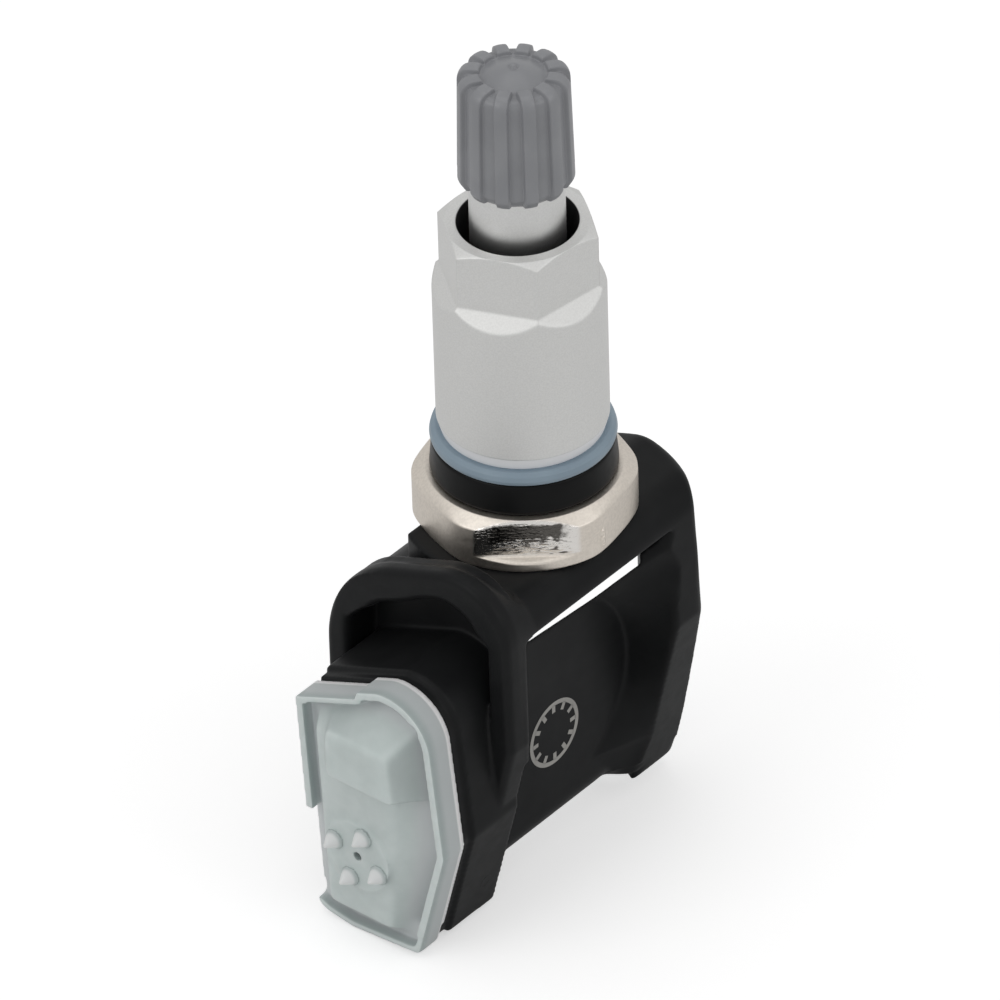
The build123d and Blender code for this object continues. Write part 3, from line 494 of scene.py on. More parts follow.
stem_profile = [
    (screw_bore, stem_low),
    (nut_thread, stem_low, 0.1),
    (nut_thread, thread_reach, 0.1),
    (stem_radius, thread_reach + 0.6, 0.15),
    (stem_radius, cap_thread_foot - 0.15, 0.1),
    (cap_thread, cap_thread_foot, 0.05),
    (cap_thread, stem_top - 0.4, 0.08),
    (cap_thread - 0.4, stem_top, 0.08),
    (core_bore, stem_top, 0.08),
    (core_bore, core_floor),
    (air_bore, core_floor - 1.15),
    (air_bore, screw_floor),
    (screw_bore, screw_floor),
]


def in_stem(a, b):
    """Whether a stretch of the profile belongs to the bore or to an end face."""
    return min(a.x, b.x) < core_bore + 0.5


stem_mesh = lathe("stem_turned", dense(rounded(stem_profile, 3), 0.13, in_stem), 144, stem_rule)
stem_piece = show("stem_turned", stem_mesh, "sensor", "valve_stem")

# %% [markdown]
# ## Sleeve nut
#
# The nut is a long aluminium sleeve. A hexagon is milled at its top, each flat runs out in a slope,
# and the corners carry a 30 degree chamfer. Booleans would leave knife edges; taking the smaller of
# the sleeve's radius and the flat's reach, with a soft change between them, gives the broken edge
# that tumbling leaves.

# %% Nut
nut_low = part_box("sleeve_nut")[0].z / mm
nut_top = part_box("sleeve_nut")[1].z / mm
nut_radius = 7.25
nut_flat = 6.0
hex_foot = nut_top - 5.35
nut_mouth = 5.05
nut_bore = 4.65
mouth_floor = nut_low + 7.45
foot_bore = 5.75
foot_depth = 0.85
nut_edge = 0.12
run_out_height = 2
nut_corner = front_flat + math.radians(12)


def to_flat(angle, corner, count):
    """The angle from the middle of the nearest flat."""
    pitch = 2 * math.pi / count
    return (angle - corner) % pitch - pitch / 2


def nut_rule(angle, r, z, normal):
    """Mills six flats, each with a slope below it."""
    if r < nut_mouth + 0.35 or z < hex_foot - run_out_height:
        return r, z
    flat = (nut_flat + max(0.0, hex_foot - z)) / math.cos(to_flat(angle, nut_corner, 6))
    return smooth_min(r, flat, nut_edge), z


nut_profile = [
    (foot_bore, nut_low, 0.1),
    (6.9, nut_low, 0.12),
    (nut_radius, nut_low + 1.2, 0.12),
    (nut_radius, nut_top - 0.69, 0.05),
    (6.05, nut_top, 0.12),
    (nut_mouth, nut_top, 0.14),
    (nut_mouth, mouth_floor),
    (nut_bore, mouth_floor),
    (nut_bore, nut_low + foot_depth),
    (foot_bore, nut_low + foot_depth),
]


def in_nut(a, b):
    """Whether a stretch of the profile belongs to the bore."""
    return max(a.x, b.x) < nut_mouth + 0.01


nut_rows = dense(rounded(nut_profile, 4), 0.12, in_nut)
plain_sleeve = (nut_low + 1.6, hex_foot - run_out_height)
nut_rows = [
    p for p in nut_rows if p.x < nut_mouth + 0.01 or not plain_sleeve[0] <= p.y <= plain_sleeve[1]
]
nut_mesh = lathe("nut_sleeve", nut_rows, 480, nut_rule, nut_corner)
nut_piece = show("nut_sleeve", nut_mesh, "nut", "sleeve_nut")

# %% [markdown]
# ## Thrust washer
#
# Under the nut lies a ring of slippery slate-blue plastic that lets the nut turn without dragging
# the rubber along. A torus would be too round: the real ring has a flat foot, a rolled edge and a
# sharp little step round the nut's foot, so it is spun from its own profile.

# %% Washer
washer_radius = 7.85
washer_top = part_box("thrust_washer")[1].z / mm
washer_profile = [
    (foot_bore, 0.0, 0.1),
    (washer_radius - 0.1, 0.0, 0.22),
    (washer_radius, 0.42, 0.2),
    (washer_radius - 0.12, washer_top - 0.3, 0.2),
    (washer_radius - 0.5, washer_top - 0.02, 0.2),
    (6.95, washer_top - 0.06, 0.05),
    (6.85, washer_top, 0.02),
    (foot_bore, washer_top, 0.1),
]
washer_mesh = lathe("washer_slate", dense(rounded(washer_profile, 5), 0.15), 192)
washer_piece = show("washer_slate", washer_mesh, "washer", "thrust_washer")

# %% [markdown]
# ## Grommet
#
# Black rubber seals the hole in the wheel rim: a thick ring sits inside the rim and a neck reaches
# through the hole. Both were moulded as one piece, so one profile makes both. Large roundings show
# that it is soft.

# %% Grommet
collar_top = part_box("valve_collar")[1].z / mm
grommet_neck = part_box("rubber_grommet")[1].z / mm
grommet_face = -0.03
neck_radius = 5.65
stem_hole = 4.62
grommet_profile = [
    (stem_hole, collar_top),
    (7.95, collar_top, 0.4),
    (7.68, grommet_face, 0.4),
    (neck_radius, grommet_face, 0.1),
    (neck_radius, grommet_neck, 0.15),
    (stem_hole, grommet_neck, 0.05),
]
grommet_mesh = lathe("grommet_rubber", dense(rounded(grommet_profile, 6), 0.2), 192)
grommet_piece = show("grommet_rubber", grommet_mesh, "sensor", "rubber_grommet")

# %% [markdown]
# ## Collar
#
# The plated collar carries the grommet. It is nearly round, with a bevel on top, five slight flats
# and one deep flat that stops at a low flange. Cutting flats off a cylinder would leave sharp
# corners; the nut's way, the smaller of two reaches with a soft change, suits a plated casting, and
# a little noise makes its side uneven.

# %% Collar
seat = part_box("valve_collar")[0].z / mm
collar_radius = 9.45
collar_flat = 8.45
side_flat = 8.95
flange = 1.2
flange_slope = 4
deep_edge = 0.25
slight_edge = 0.6
unevenness = 0.06


def collar_rule(angle, r, z, normal):
    """One deep flat that stops at a low flange, and five slight ones."""
    if r < stem_hole + 0.88:
        return r, z
    spot = Vector((math.cos(angle) * 9, math.sin(angle) * 9, z * 1.5))
    r -= unevenness * max(0.0, noise.noise(spot * 0.7)) * soft_step((r - 8.5) / 0.5)
    aside = to_flat(angle, front_flat + math.pi / 6, 6)
    faces_front = abs((angle - front_flat + math.pi) % (2 * math.pi) - math.pi) < math.pi / 6
    if faces_front:
        flat = collar_flat + flange_slope * max(0.0, seat + flange - z)
        return smooth_min(r, flat / math.cos(aside), deep_edge), z
    return smooth_min(r, side_flat / math.cos(aside), slight_edge), z


collar_profile = [
    (stem_hole, seat),
    (collar_radius, seat, 0.25),
    (collar_radius, collar_top - 0.85, 0.25),
    (8.35, collar_top, 0.2),
    (stem_hole, collar_top),
]


def in_collar(a, b):
    """Whether a stretch of the profile is in the bore, under the grommet or on the seat."""
    return min(a.x, b.x) < 8


collar_rows = dense(rounded(collar_profile, 6), 0.11, in_collar)
collar_mesh = lathe("collar_plated", collar_rows, 480, collar_rule, front_flat)
collar_piece = show("collar_plated", collar_mesh, "sensor", "valve_collar")

# %% [markdown]
# ## Moulded housing and cover
#
# The housing and the clear cover are free forms that the CAD solid already holds, with crisp
# edges. A Bevel modifier trips over so many meeting curves. Instead the solid's skin is copied,
# remeshed into small even cells, relaxed a little and thinned out again: every edge gets the soft
# radius of an injection moulding, and the form stays.


# %% Softening helper
def worked(mesh, chosen=(), **modifiers):
    """A mesh after a chain of modifiers, each given as TYPE={settings}.

    The chosen vertices form a group named soft, which a setting may use.
    """
    blank = bpy.data.objects.new("draft", mesh)
    bpy.context.scene.collection.objects.link(blank)
    if chosen:
        blank.vertex_groups.new(name="soft").add(chosen, 1.0, "REPLACE")
    for kind, settings in modifiers.items():
        tool = blank.modifiers.new(kind, kind)
        for name, value in settings.items():
            setattr(tool, name, value)
    shaped = blank.evaluated_get(bpy.context.evaluated_depsgraph_get())
    made = bpy.data.meshes.new_from_object(shaped)
    bpy.data.objects.remove(blank)
    return made


def softened(node, cell, passes, *extras):
    """A CAD node's skin with extra closed meshes grown on, in even cells and with soft edges."""
    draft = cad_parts[node].data.copy()
    draft.materials.clear()
    weld = bmesh.new()
    weld.from_mesh(draft)
    for extra in extras:
        weld.from_mesh(extra)
    bmesh.ops.remove_doubles(weld, verts=weld.verts, dist=0.001 * mm)
    weld.to_mesh(draft)
    weld.free()
    grid = {"mode": "VOXEL", "voxel_size": cell * mm}
    return worked(draft, REMESH=grid, SMOOTH={"factor": 0.5, "iterations": passes})


def relaxed(mesh, chosen, passes):
    """A mesh with the chosen vertices relaxed further."""
    relax = {"factor": 0.5, "iterations": passes, "vertex_group": "soft"}
    return worked(mesh, chosen, SMOOTH=relax)


def thinned(mesh, name, faces):
    """The same mesh with about so many triangles."""
    made = worked(mesh, DECIMATE={"ratio": min(1.0, faces / (2 * len(mesh.polygons)))})
    made.name = name
    return made


def skin(mesh):
    """A search tree of a mesh's faces."""
    corners = [v.co for v in mesh.vertices]
    return bvhtree.BVHTree.FromPolygons(corners, [p.vertices for p in mesh.polygons])


print("softening is ready")

# %% [markdown]
# ## Lip of the arched rim
#
# The rim at the cover's end is a thick roll: its inner edge bulges into the recess along the arch
# and fades out down both sides. A separate tube laid on the rim would show a seam. This roll is
# swept along the recess's outline and grown onto the housing when the skin is remeshed.

# %% Rim lip
rim_face = -14.47
rim_back = -11.3
lip_root = -1.6
lip_round = 0.8
lip_low = -17
lip_reach = 2.1
# Places on the rim are a reach to the front and a height.
recess_outline = [
    (7.5, -22.5),
    (-7.65, -22.5),
    (-7.65, -11.17, 6.4),
    (3.2, -7.0, 3.2),
    (7.5, -7.0, 3.2),
]
recess_line = dense(rounded(recess_outline, 8), 0.3)
lip_path = [p for p in recess_line if p.y > lip_low and (p.x < 5 or p.y > -12.5)]


def lip_section(here, inward):
    """The roll's section at one place of the path, as points in mm."""
    fade = soft_step((here.y - lip_low) / 6) if here.x < 3 else soft_step((here.y + 12) / 3.2)
    reach = -0.75 + lip_reach * fade - 0.6 * soft_step(1 - abs(here.x - 1.5) / 4.5)
    section = []
    for k in range(9):
        turn = k * math.pi / 16
        sunk = lip_round * (1 - math.sin(turn))
        section.append((reach - sunk, rim_face + lip_round * (1 - math.cos(turn))))
    section += [(reach, rim_back - 0.5), (reach - 0.3, rim_back - 0.1)]
    section += [(lip_root, rim_back), (lip_root, rim_face)]
    points = [(x, -(here.x + inward.x * n), here.y + inward.y * n) for n, x in section]
    return [Vector(point) * mm for point in points]


lip = bmesh.new()
rings = []
for i, here in enumerate(lip_path):
    along = lip_path[min(i + 1, len(lip_path) - 1)] - lip_path[max(i - 1, 0)]
    inward = Vector((along.y, -along.x)).normalized()
    rings.append([lip.verts.new(place) for place in lip_section(here, inward)])
for before, after in zip(rings, rings[1:]):
    for k in range(len(before)):
        j = (k + 1) % len(before)
        lip.faces.new((before[k], before[j], after[j], after[k]))
lip.faces.new(rings[0])
lip.faces.new(rings[-1])
bmesh.ops.recalc_face_normals(lip, faces=lip.faces)
lip_mesh = bpy.data.meshes.new("rim_lip")
lip.to_mesh(lip_mesh)
lip.free()
print("rim lip", len(lip_path), "sections")

# %% [markdown]
# ## Wing beside the pocket
#
# The pocket's far side starts round at the web and ends at one upright line on the wing's front
# edge. It could be sculpted by hand, but not twice the same. Here rays find the side wall, the
# wing's front and its outer skin; every point between them is moved sideways in proportion, so the
# wall meets the front where it should and the outer skin keeps its place.

# %% Housing
# The mouth's edge as heights and places along X, from the top down.
mouth_line = [(-10.0, 8.9), (-12.5, 8.6), (-18.5, 7.3), (-34.0, 7.3), (-41.0, 5.2)]
web_face = 5.0
web_gap = 0.2
front_gap = 0.5
wing_start = -12.3
wing_fade = 4
leg_side = 3
leg_foot = -38.3
leg_squeeze = 0.92
housing_cell = 0.17


def along_line(line, level):
    """A value read off a line of (level, value) points, from the top down."""
    for (high, first), (low, second) in zip(line, line[1:]):
        if low <= level <= high:
            return first + (second - first) * (high - level) / (high - low)
    return line[0][1] if level > line[0][0] else line[-1][1]


housing_draft = softened("sensor_housing", housing_cell, 5, lip_mesh)
tree = skin(housing_draft)
print("housing skin", len(housing_draft.vertices), "points")


# %% Rays at the wing
def cast(start, aim):
    """Where a ray meets the housing, in mm, or nothing."""
    place = tree.ray_cast(Vector(start) * mm, Vector(aim))[0]
    return place / mm if place else None


top_level = -11.5
level_step = 0.25
depths = 5
wing = []
for k in range(112):
    z = top_level - level_step * k
    front = -cast((10.5, -20, z), (0, 1, 0)).y
    row = []
    for d in range(depths):
        span = front - front_gap - web_face - web_gap
        y = -(web_face + web_gap + span * d / (depths - 1))
        row.append((cast((1, y, z), (1, 0, 0)).x, cast((25, y, z), (-1, 0, 0)).x))
    wing.append((front, row))


def at_wing(y, z):
    """The wing's front, side wall, outer skin and mouth at a place, read between the rays."""
    level = min(len(wing) - 1.001, max(0.0, (top_level - z) / level_step))
    k = int(level)
    found = []
    for front, row in wing[k : k + 2]:
        share = (-y - web_face - web_gap) / (front - front_gap - web_face - web_gap)
        depth = min(depths - 1.001, max(0.0, share * (depths - 1)))
        d = int(depth)
        wall, outer = Vector(row[d]).lerp(Vector(row[d + 1]), depth - d)
        found.append(Vector((front, wall, outer, row[-1][0])))
    return found[0].lerp(found[1], level - k)


print("wing cast at", len(wing), "levels")

# %% Square the wing's mouth
moved = []
for vertex in housing_draft.vertices:
    x, y, z = vertex.co / mm
    if x > 2 and y < -web_face - 0.05 and z < -11.3:
        front, wall, outer, mouth = at_wing(y, z)
        forward = min(1.0, (-y - web_face) / (front - web_face))
        share = min(1.0, max(0.0, (outer - x) / (outer - wall)))
        shift = (along_line(mouth_line, z) - mouth) * forward * share
        shift *= soft_step((wing_start - z) / wing_fade)
        vertex.co.x += shift * mm
        moved.append(abs(shift))
print("wing points moved", len(moved), "by at most", round(max(moved), 2), "mm")

# %% Round the leg and the roll
for vertex in housing_draft.vertices:
    x, y, z = vertex.co / mm
    if x > leg_side and z < leg_foot:
        vertex.co.z += (leg_foot - z) * leg_squeeze * soft_step((x - leg_side) / 2) * mm
leg, roll = [], []
for vertex in housing_draft.vertices:
    x, y, z = vertex.co / mm
    if x > leg_side and z < leg_foot + 1.8:
        leg.append(vertex.index)
    if x < rim_back + 0.3 and z > -13:
        roll.append(vertex.index)
housing_soft = relaxed(relaxed(housing_draft, leg, 60), roll, 24)
housing_mesh = thinned(housing_soft, "housing_moulded", 195000)
housing_piece = show("housing_moulded", housing_mesh, "sensor", "sensor_housing")

# %% [markdown]
# ## Milky cover
#
# The cover is moulded in one piece: a tray with a thin wall, and a tub whose edges are far rounder
# than the wall's. One relaxing for all would blunt the wall, so a second, longer one works only
# inside the tub's outline. Two slabs fill the narrow gap beside the tub, where the plastic is
# solid, and the four prongs are drawn to points.

# %% Cover helpers
tub_outline = [(-6.1, -17.6), (1.9, -14.2), (6.1, -15.1), (7.5, -27.9), (4.6, -38.8), (-5.1, -38.8)]
boss = Vector((-0.4, -31.3))
boss_radius = 3.4
boss_face = -22.5
prong_length = 1.4
prong_circle = 2.5
prong_turn = math.radians(-18)
cover_cell = 0.11
moat_floor = -19.3
moat_brim = -20.6


def slab(name, outline, near, far):
    """A closed plate between two places along X.

    Its outline is given as reaches to the front and heights, all in mm.
    """
    mesh = bpy.data.meshes.new(name)
    points = [(x * mm, -v * mm, z * mm) for x in (near, far) for v, z in outline]
    count = len(outline)
    sides = [(i, (i + 1) % count, count + (i + 1) % count, count + i) for i in range(count)]
    mesh.from_pydata(points, [], [tuple(range(count)), tuple(range(count, 2 * count)), *sides])
    tidy = bmesh.new()
    tidy.from_mesh(mesh)
    bmesh.ops.recalc_face_normals(tidy, faces=tidy.faces)
    tidy.to_mesh(mesh)
    tidy.free()
    return mesh


def inside_outline(spot, outline):
    """Whether a point lies inside a convex outline given clockwise."""
    pairs = zip(outline, outline[1:] + outline[:1])
    return all((Vector(b) - Vector(a)).cross(spot - Vector(a)) <= 0 for a, b in pairs)


print("tub outline", len(tub_outline), "corners, boss", boss_radius, "mm")

# %% Cover skin
foot_outline = [(-5.3, -39.2), (4.7, -39.2), (5.3, -37.3), (-5.5, -37.3)]
side_outline = [(-6.9, -18.3), (-5.5, -38.0), (-4.4, -38.0), (-5.6, -18.3)]
moat_foot = slab("moat_foot", foot_outline, moat_floor, moat_brim)
moat_side = slab("moat_side", side_outline, moat_floor, moat_brim)
cover_draft = softened("port_cover", cover_cell, 3, moat_foot, moat_side)
tub = []
foot_corner = []
for vertex in cover_draft.vertices:
    spot = Vector((-vertex.co.y / mm, vertex.co.z / mm))
    near_boss = (spot - boss).length < boss_radius and vertex.co.x / mm < boss_face + 0.4
    on_tub = vertex.co.x / mm < -20 and not near_boss and inside_outline(spot, tub_outline)
    if on_tub or spot.y < -37.4:
        tub.append(vertex.index)
    if spot.y < -36.5 and (spot.x < -2.5 or spot.x > 3.5):
        foot_corner.append(vertex.index)
cover_soft = relaxed(relaxed(cover_draft, tub, 45), foot_corner, 60)
print("tub points", len(tub), "corner points", len(foot_corner))

# %% Prongs
prong_angles = [prong_turn + k * math.pi / 2 for k in range(4)]
prongs = [boss + prong_circle * Vector((math.cos(a), math.sin(a))) for a in prong_angles]
for vertex in cover_soft.vertices:
    along = (boss_face - 0.05 - vertex.co.x / mm) / prong_length
    spot = Vector((-vertex.co.y / mm, vertex.co.z / mm))
    if along > 0 and (spot - boss).length < boss_radius + 0.2:
        middle = min(prongs, key=lambda p: (p - spot).length)
        old = 0.9 - 0.4 * min(1.0, along)
        new = 0.08 + 0.9 * max(0.0, 1 - along)
        drawn = middle + (spot - middle) * new / old
        vertex.co.y = -drawn.x * mm
        vertex.co.z = drawn.y * mm
cover_mesh = thinned(cover_soft, "cover_milky", 120000)
cover_piece = show("cover_milky", cover_mesh, "sensor", "port_cover")

# %% [markdown]
# ## Marks of the mould
#
# A moulding tool leaves its traces: a hair-thin parting line on the saddle and the ring of an
# ejector pin on the box. The plating has run down one side of the collar. A bump in the material
# would vanish at the outline, so these are fine raised beads; each follows the surface it lies on,
# found by casting rays at it, and sinks into it at both ends.

# %% Beads
def bead(name, tree, starts, aim, width, height):
    """A raised line: rays cast from the start points along aim find where it lies. All in mm."""
    hits = [tree.ray_cast(Vector(start) * mm, Vector(aim))[:2] for start in starts]
    hits = [hit for hit in hits if hit[0]]
    points, faces = [], []
    for i, (place, normal) in enumerate(hits):
        along = hits[min(i + 1, len(hits) - 1)][0] - hits[max(i - 1, 0)][0]
        taper = min(1.0, i / 4, (len(hits) - 1 - i) / 4)
        across = normal.cross(along).normalized() * width * mm / 2 * (0.3 + 0.7 * taper)
        swell = (0.7 + 0.3 * math.sin(i * 1.3)) * taper
        for side, lift in ((-1, -0.3), (-0.5, 0.75), (0, 1), (0.5, 0.75), (1, -0.3)):
            rise = lift * height * swell - 0.02 * (1 - taper)
            points.append(place + across * side + normal * rise * mm)
    for i in range(len(hits) - 1):
        faces += [(5 * i + k, 5 * i + k + 1, 5 * i + k + 6, 5 * i + k + 5) for k in range(4)]
    mesh = bpy.data.meshes.new(name)
    mesh.from_pydata(points, [], faces)
    return show(name, mesh, "sensor")


housing_skin = skin(housing_mesh)
parting_path = [(-11.6 + k * 0.1, -3.4, 5) for k in range(40)]
parting = bead("parting_line", housing_skin, parting_path, (0, 0, -1), 0.2, 0.06)
pin_ring = [(-14 + 0.6 * math.cos(k / 6), -12, -36 + 0.6 * math.sin(k / 6)) for k in range(39)]
ejector = bead("ejector_ring", housing_skin, pin_ring, (0, 1, 0), 0.12, 0.02)
run_turn = math.radians(264)
run_side = Vector((math.cos(run_turn), math.sin(run_turn), 0))
run_path = []
for k in range(36):
    sway = Vector((0.06 * math.sin(k * 0.5), 0, -5.2 - k * 0.06))
    run_path.append(run_side * 14 + sway)
plating_run = bead("plating_run", skin(collar_mesh), run_path, -run_side, 0.7, 0.17)

# %% [markdown]
# ## Printed dial
#
# A pale ring with twelve ticks is printed on the web, as a plain dating mark. It could be a mask in
# the web's material; as a thin sheet of its own a hair in front of the web, its edges stay crisp at
# any distance.


# %% Dial
def dial(name, centre, face, radius, stroke, ticks):
    """A flat printed ring with ticks, in front of a face that looks towards -Y. All in mm."""
    hair = 0.02
    points, faces = [], []

    def patch(corners):
        first = len(points)
        for x, z in corners:
            points.append(((centre[0] + x) * mm, -(face + hair) * mm, (centre[1] + z) * mm))
        faces.append((first, first + 1, first + 2, first + 3))

    steps = 96
    for k in range(steps):
        a, b = 2 * math.pi * k / steps, 2 * math.pi * (k + 1) / steps
        ring = ((a, radius - stroke), (b, radius - stroke), (b, radius), (a, radius))
        patch([(r * math.cos(t), r * math.sin(t)) for t, r in ring])
    for k in range(ticks):
        out = Vector((math.cos(2 * math.pi * k / ticks), math.sin(2 * math.pi * k / ticks)))
        side = Vector((-out.y, out.x)) * stroke / 2
        near, far = radius - 2.6 * stroke, radius - stroke * 0.9
        patch([out * near - side, out * near + side, out * far + side, out * far - side])
    mesh = bpy.data.meshes.new(name)
    mesh.from_pydata(points, [], faces)
    return show(name, mesh, "sensor")


dial_piece = dial("printed_dial", (-3.0, -27.6), web_face, radius=3.2, stroke=0.42, ticks=12)

# %% [markdown]
# ## Finishes
#
# Each finish is a Principled shader with a few procedural changes over the surface. Pictures could
# be wrapped round the pieces, but they blur up close; object coordinates in millimetres drive noise
# for grain, turning marks and wear at their true size instead.


# %% Finish helper
def finish(name, **fixed):
    """A new material, its places in mm and its shader, with the fixed sockets set."""
    material = bpy.data.materials.new(name)
    material.use_nodes = True
    material.node_tree.nodes.clear()
    tone = Tone(material.node_tree)
    spot = tone.make("TexCoord", out="Object")
    spot = tone.make("VectorMath", {"operation": "SCALE"}, {0: spot, "Scale": 1 / mm})
    sockets = {key.replace("_", " "): value for key, value in fixed.items()}
    shader = tone.make("BsdfPrincipled", None, sockets)
    tone.make("OutputMaterial", None, {"Surface": shader})
    return material, spot, shader


def link(shader, **sockets):
    """Links changing values to a shader's sockets, and sets plain numbers on them."""
    node = shader.socket.node
    for key, value in sockets.items():
        socket = node.inputs[key.replace("_", " ")]
        if isinstance(value, Tone):
            shader.tree.links.new(value.socket, socket)
        else:
            socket.default_value = value


def grain(spot, size, detail=2.0, stretch=(1, 1, 1)):
    """Noise whose cells are about size mm across; stretch draws them out along an axis."""
    cell = [size * s for s in stretch]
    place = spot.make("VectorMath", {"operation": "DIVIDE"}, {0: spot, 1: cell})
    sockets = {"Vector": place, "Scale": 1.0, "Detail": detail, "Roughness": 0.55}
    return spot.make("TexNoise", None, sockets, out=0)


def place_along(spot, axis):
    """The place along X, Y or Z (0, 1 or 2), or the share of a vector along it."""
    return spot.make("SeparateXYZ", None, {0: spot}, out=axis)


def distance(spot, centre, axes):
    """How far a place is from a centre, counting only some axes (1) and not others (0)."""
    away = spot.make("VectorMath", {"operation": "SUBTRACT"}, {0: spot, 1: centre})
    away = spot.make("VectorMath", {"operation": "MULTIPLY"}, {0: away, 1: axes})
    return spot.make("VectorMath", {"operation": "LENGTH"}, {0: away}, out=1)


def reach_towards(spot, direction):
    """How far a place lies along a direction."""
    return spot.make("VectorMath", {"operation": "DOT_PRODUCT"}, {0: spot, 1: direction}, out=1)


def raised(spot, height, depth):
    """A bump of so many mm from a height of 0 to 1."""
    return spot.make("Bump", None, {"Strength": 1.0, "Distance": depth * mm, "Height": height})


print("finish helpers are ready")


# %% [markdown]
# ## Plastics and rubber
#
# The cap, the washer, the grommet and the housing are moulded, so they share one recipe: slight
# mottling in the colour, a fine grain from the tool and an uneven gloss. Four hand-made materials
# would drift apart; one function with a dark and a light tone keeps them related.


# %% Plastics and rubber
def plastic(name, dark, light, grain_size, depth, rough, **fixed):
    """A moulded plastic: slight mottling, a fine tool grain and uneven gloss."""
    material, spot, shader = finish(name, **fixed)
    mottle = grain(spot, 4.0)
    fine = grain(spot, grain_size, 4.0)
    link(
        shader,
        Base_Color=mottle.between(0.3, 0.7).blend(dark, light),
        Roughness=rough + 0.16 * (grain(spot, 1.3) - 0.5),
        Normal=raised(spot, fine, depth),
    )
    return material


cap_grey = plastic(
    "cap_grey",
    dark=(0.265, 0.27, 0.286),
    light=(0.295, 0.30, 0.316),
    grain_size=0.25,
    depth=0.012,
    rough=0.35,
    Specular_IOR_Level=0.62,
)
slate = plastic(
    "slate",
    dark=(0.255, 0.335, 0.405),
    light=(0.285, 0.37, 0.44),
    grain_size=0.3,
    depth=0.006,
    rough=0.34,
    Specular_IOR_Level=0.5,
)
grommet_black = plastic(
    "grommet_black",
    dark=(0.004, 0.0042, 0.0045),
    light=(0.0055, 0.0058, 0.006),
    grain_size=0.5,
    depth=0.006,
    rough=0.36,
    Specular_IOR_Level=0.14,
)
housing_black = plastic(
    "housing_black",
    dark=(0.0115, 0.012, 0.0126),
    light=(0.015, 0.0156, 0.0162),
    grain_size=0.16,
    depth=0.006,
    rough=0.38,
    Specular_IOR_Level=0.1,
)
print_grey = plastic("print_grey", (0.36, 0.35, 0.33), (0.44, 0.43, 0.40), 0.3, 0.004, 0.5)
cap_piece.data.materials.append(cap_grey)
washer_piece.data.materials.append(slate)
grommet_piece.data.materials.append(grommet_black)
for moulded in (housing_piece, parting, ejector):
    moulded.data.materials.append(housing_black)
dial_piece.data.materials.append(print_grey)
print("plastics done")


# %% [markdown]
# ## Turned aluminium
#
# The stem and the nut are turned, then blasted and anodised to a dry satin. A brushed texture could
# be painted; here noise drawn out round the valve gives the turning rings, and finer noise the dry
# grain. The nearly white, non-metal band at the nut's foot is a painted reflection on the
# chamfer there, and the dark tone in its mouth is painted shade. Whether finish or light makes them
# so isn't known, and both are made here as plain tones of the surface.


# %% Metals
def turned(name, dark, light, rough, foot=None, bore=None):
    """A turned, blasted metal, with a white painted reflection below foot and painted shade within
    bore.
    """
    material, spot, shader = finish(name)
    rings = grain(spot, 0.05, 3.0, (60, 60, 1))
    dry = grain(spot, 0.14, 2.0)
    tint = dry.between(0.25, 0.75).blend(dark, light)
    bare = 1.0
    # Below foot: a nearly white, non-metal band, a painted reflection on the nut's foot chamfer.
    if foot is not None:
        bare = place_along(spot, 2).between(foot - 0.06, foot + 0.02)
        tint = bare.blend((0.93, 0.93, 0.94), tint)
    # Within bore: a dark tone, painted shade in the nut's mouth.
    if bore is not None:
        radius = distance(spot, (0, 0, 0), (1, 1, 0))
        tint = radius.between(bore + 0.02, bore + 0.09).blend((0.07, 0.07, 0.072), tint)
    link(
        shader,
        Base_Color=tint,
        Metallic=bare,
        Roughness=rough + 0.1 * (rings - 0.5),
        Normal=raised(spot, 0.5 * rings + 0.5 * dry, 0.003),
    )
    return material


stem_metal = turned("stem_metal", (0.76, 0.76, 0.75), (0.82, 0.82, 0.81), 0.4)
stem_piece.data.materials.append(stem_metal)
# The nut's white foot band is a painted reflection, and its dark mouth is painted shade.
aluminium = turned(
    "aluminium",
    dark=(0.77, 0.77, 0.757),
    light=(0.83, 0.83, 0.817),
    rough=0.55,
    foot=nut_low + 1.15,
    bore=nut_mouth,
)
nut_piece.data.materials.append(aluminium)
print("turned metals done")

# %% [markdown]
# ## Nickel plate
#
# The collar is nickel-plated over a cast skin: satin and a little beige all round, but its deep
# flat is nearly a mirror, with ripples. Two materials would need a seam; one material with a mask,
# made from the place on the collar, changes smoothly between them. The dark field on the flat is
# not a mark on the metal: it is painted in place of the dark surroundings that such a mirror shows,
# so it stays the same from every side. Without it the shader alone gives the true reflection.

# %% Nickel plate
nickel, spot, shader = finish("nickel", Metallic=1.0)
ahead = reach_towards(spot, (math.cos(front_flat), math.sin(front_flat), 0))
aside = reach_towards(spot, (-math.sin(front_flat), math.cos(front_flat), 0))
height = place_along(spot, 2)
flat_foot = seat + flange
flat_top = collar_top - 0.2
on_flat = ahead.between(collar_flat - 0.2, collar_flat - 0.02)
on_flat = on_flat * height.between(flat_foot - 0.05, flat_foot + 0.1)
wander = grain(spot, 0.7, 3.0) - 0.5
inner = 1 - (aside.maths("ABSOLUTE", aside) + 2.0 * wander).between(2.8, 3.6)
inner = inner * on_flat * (1 - (height + 0.5 * wander).between(flat_top - 0.35, flat_top - 0.15))
upper = (height + 1.2 * wander).between(flat_foot + 0.8, flat_foot + 2.4)
ripple = grain(spot, 0.5, 2.0, (1.5, 1.5, 0.36))
painted_dark = inner * (ripple + 0.36 * (upper - 0.3)).between(0.44, 0.56)
beige = grain(spot, 0.25, 2.0).between(0.3, 0.7).blend((0.78, 0.72, 0.645), (0.86, 0.795, 0.715))
mirror = on_flat.blend(beige, (0.95, 0.92, 0.88))
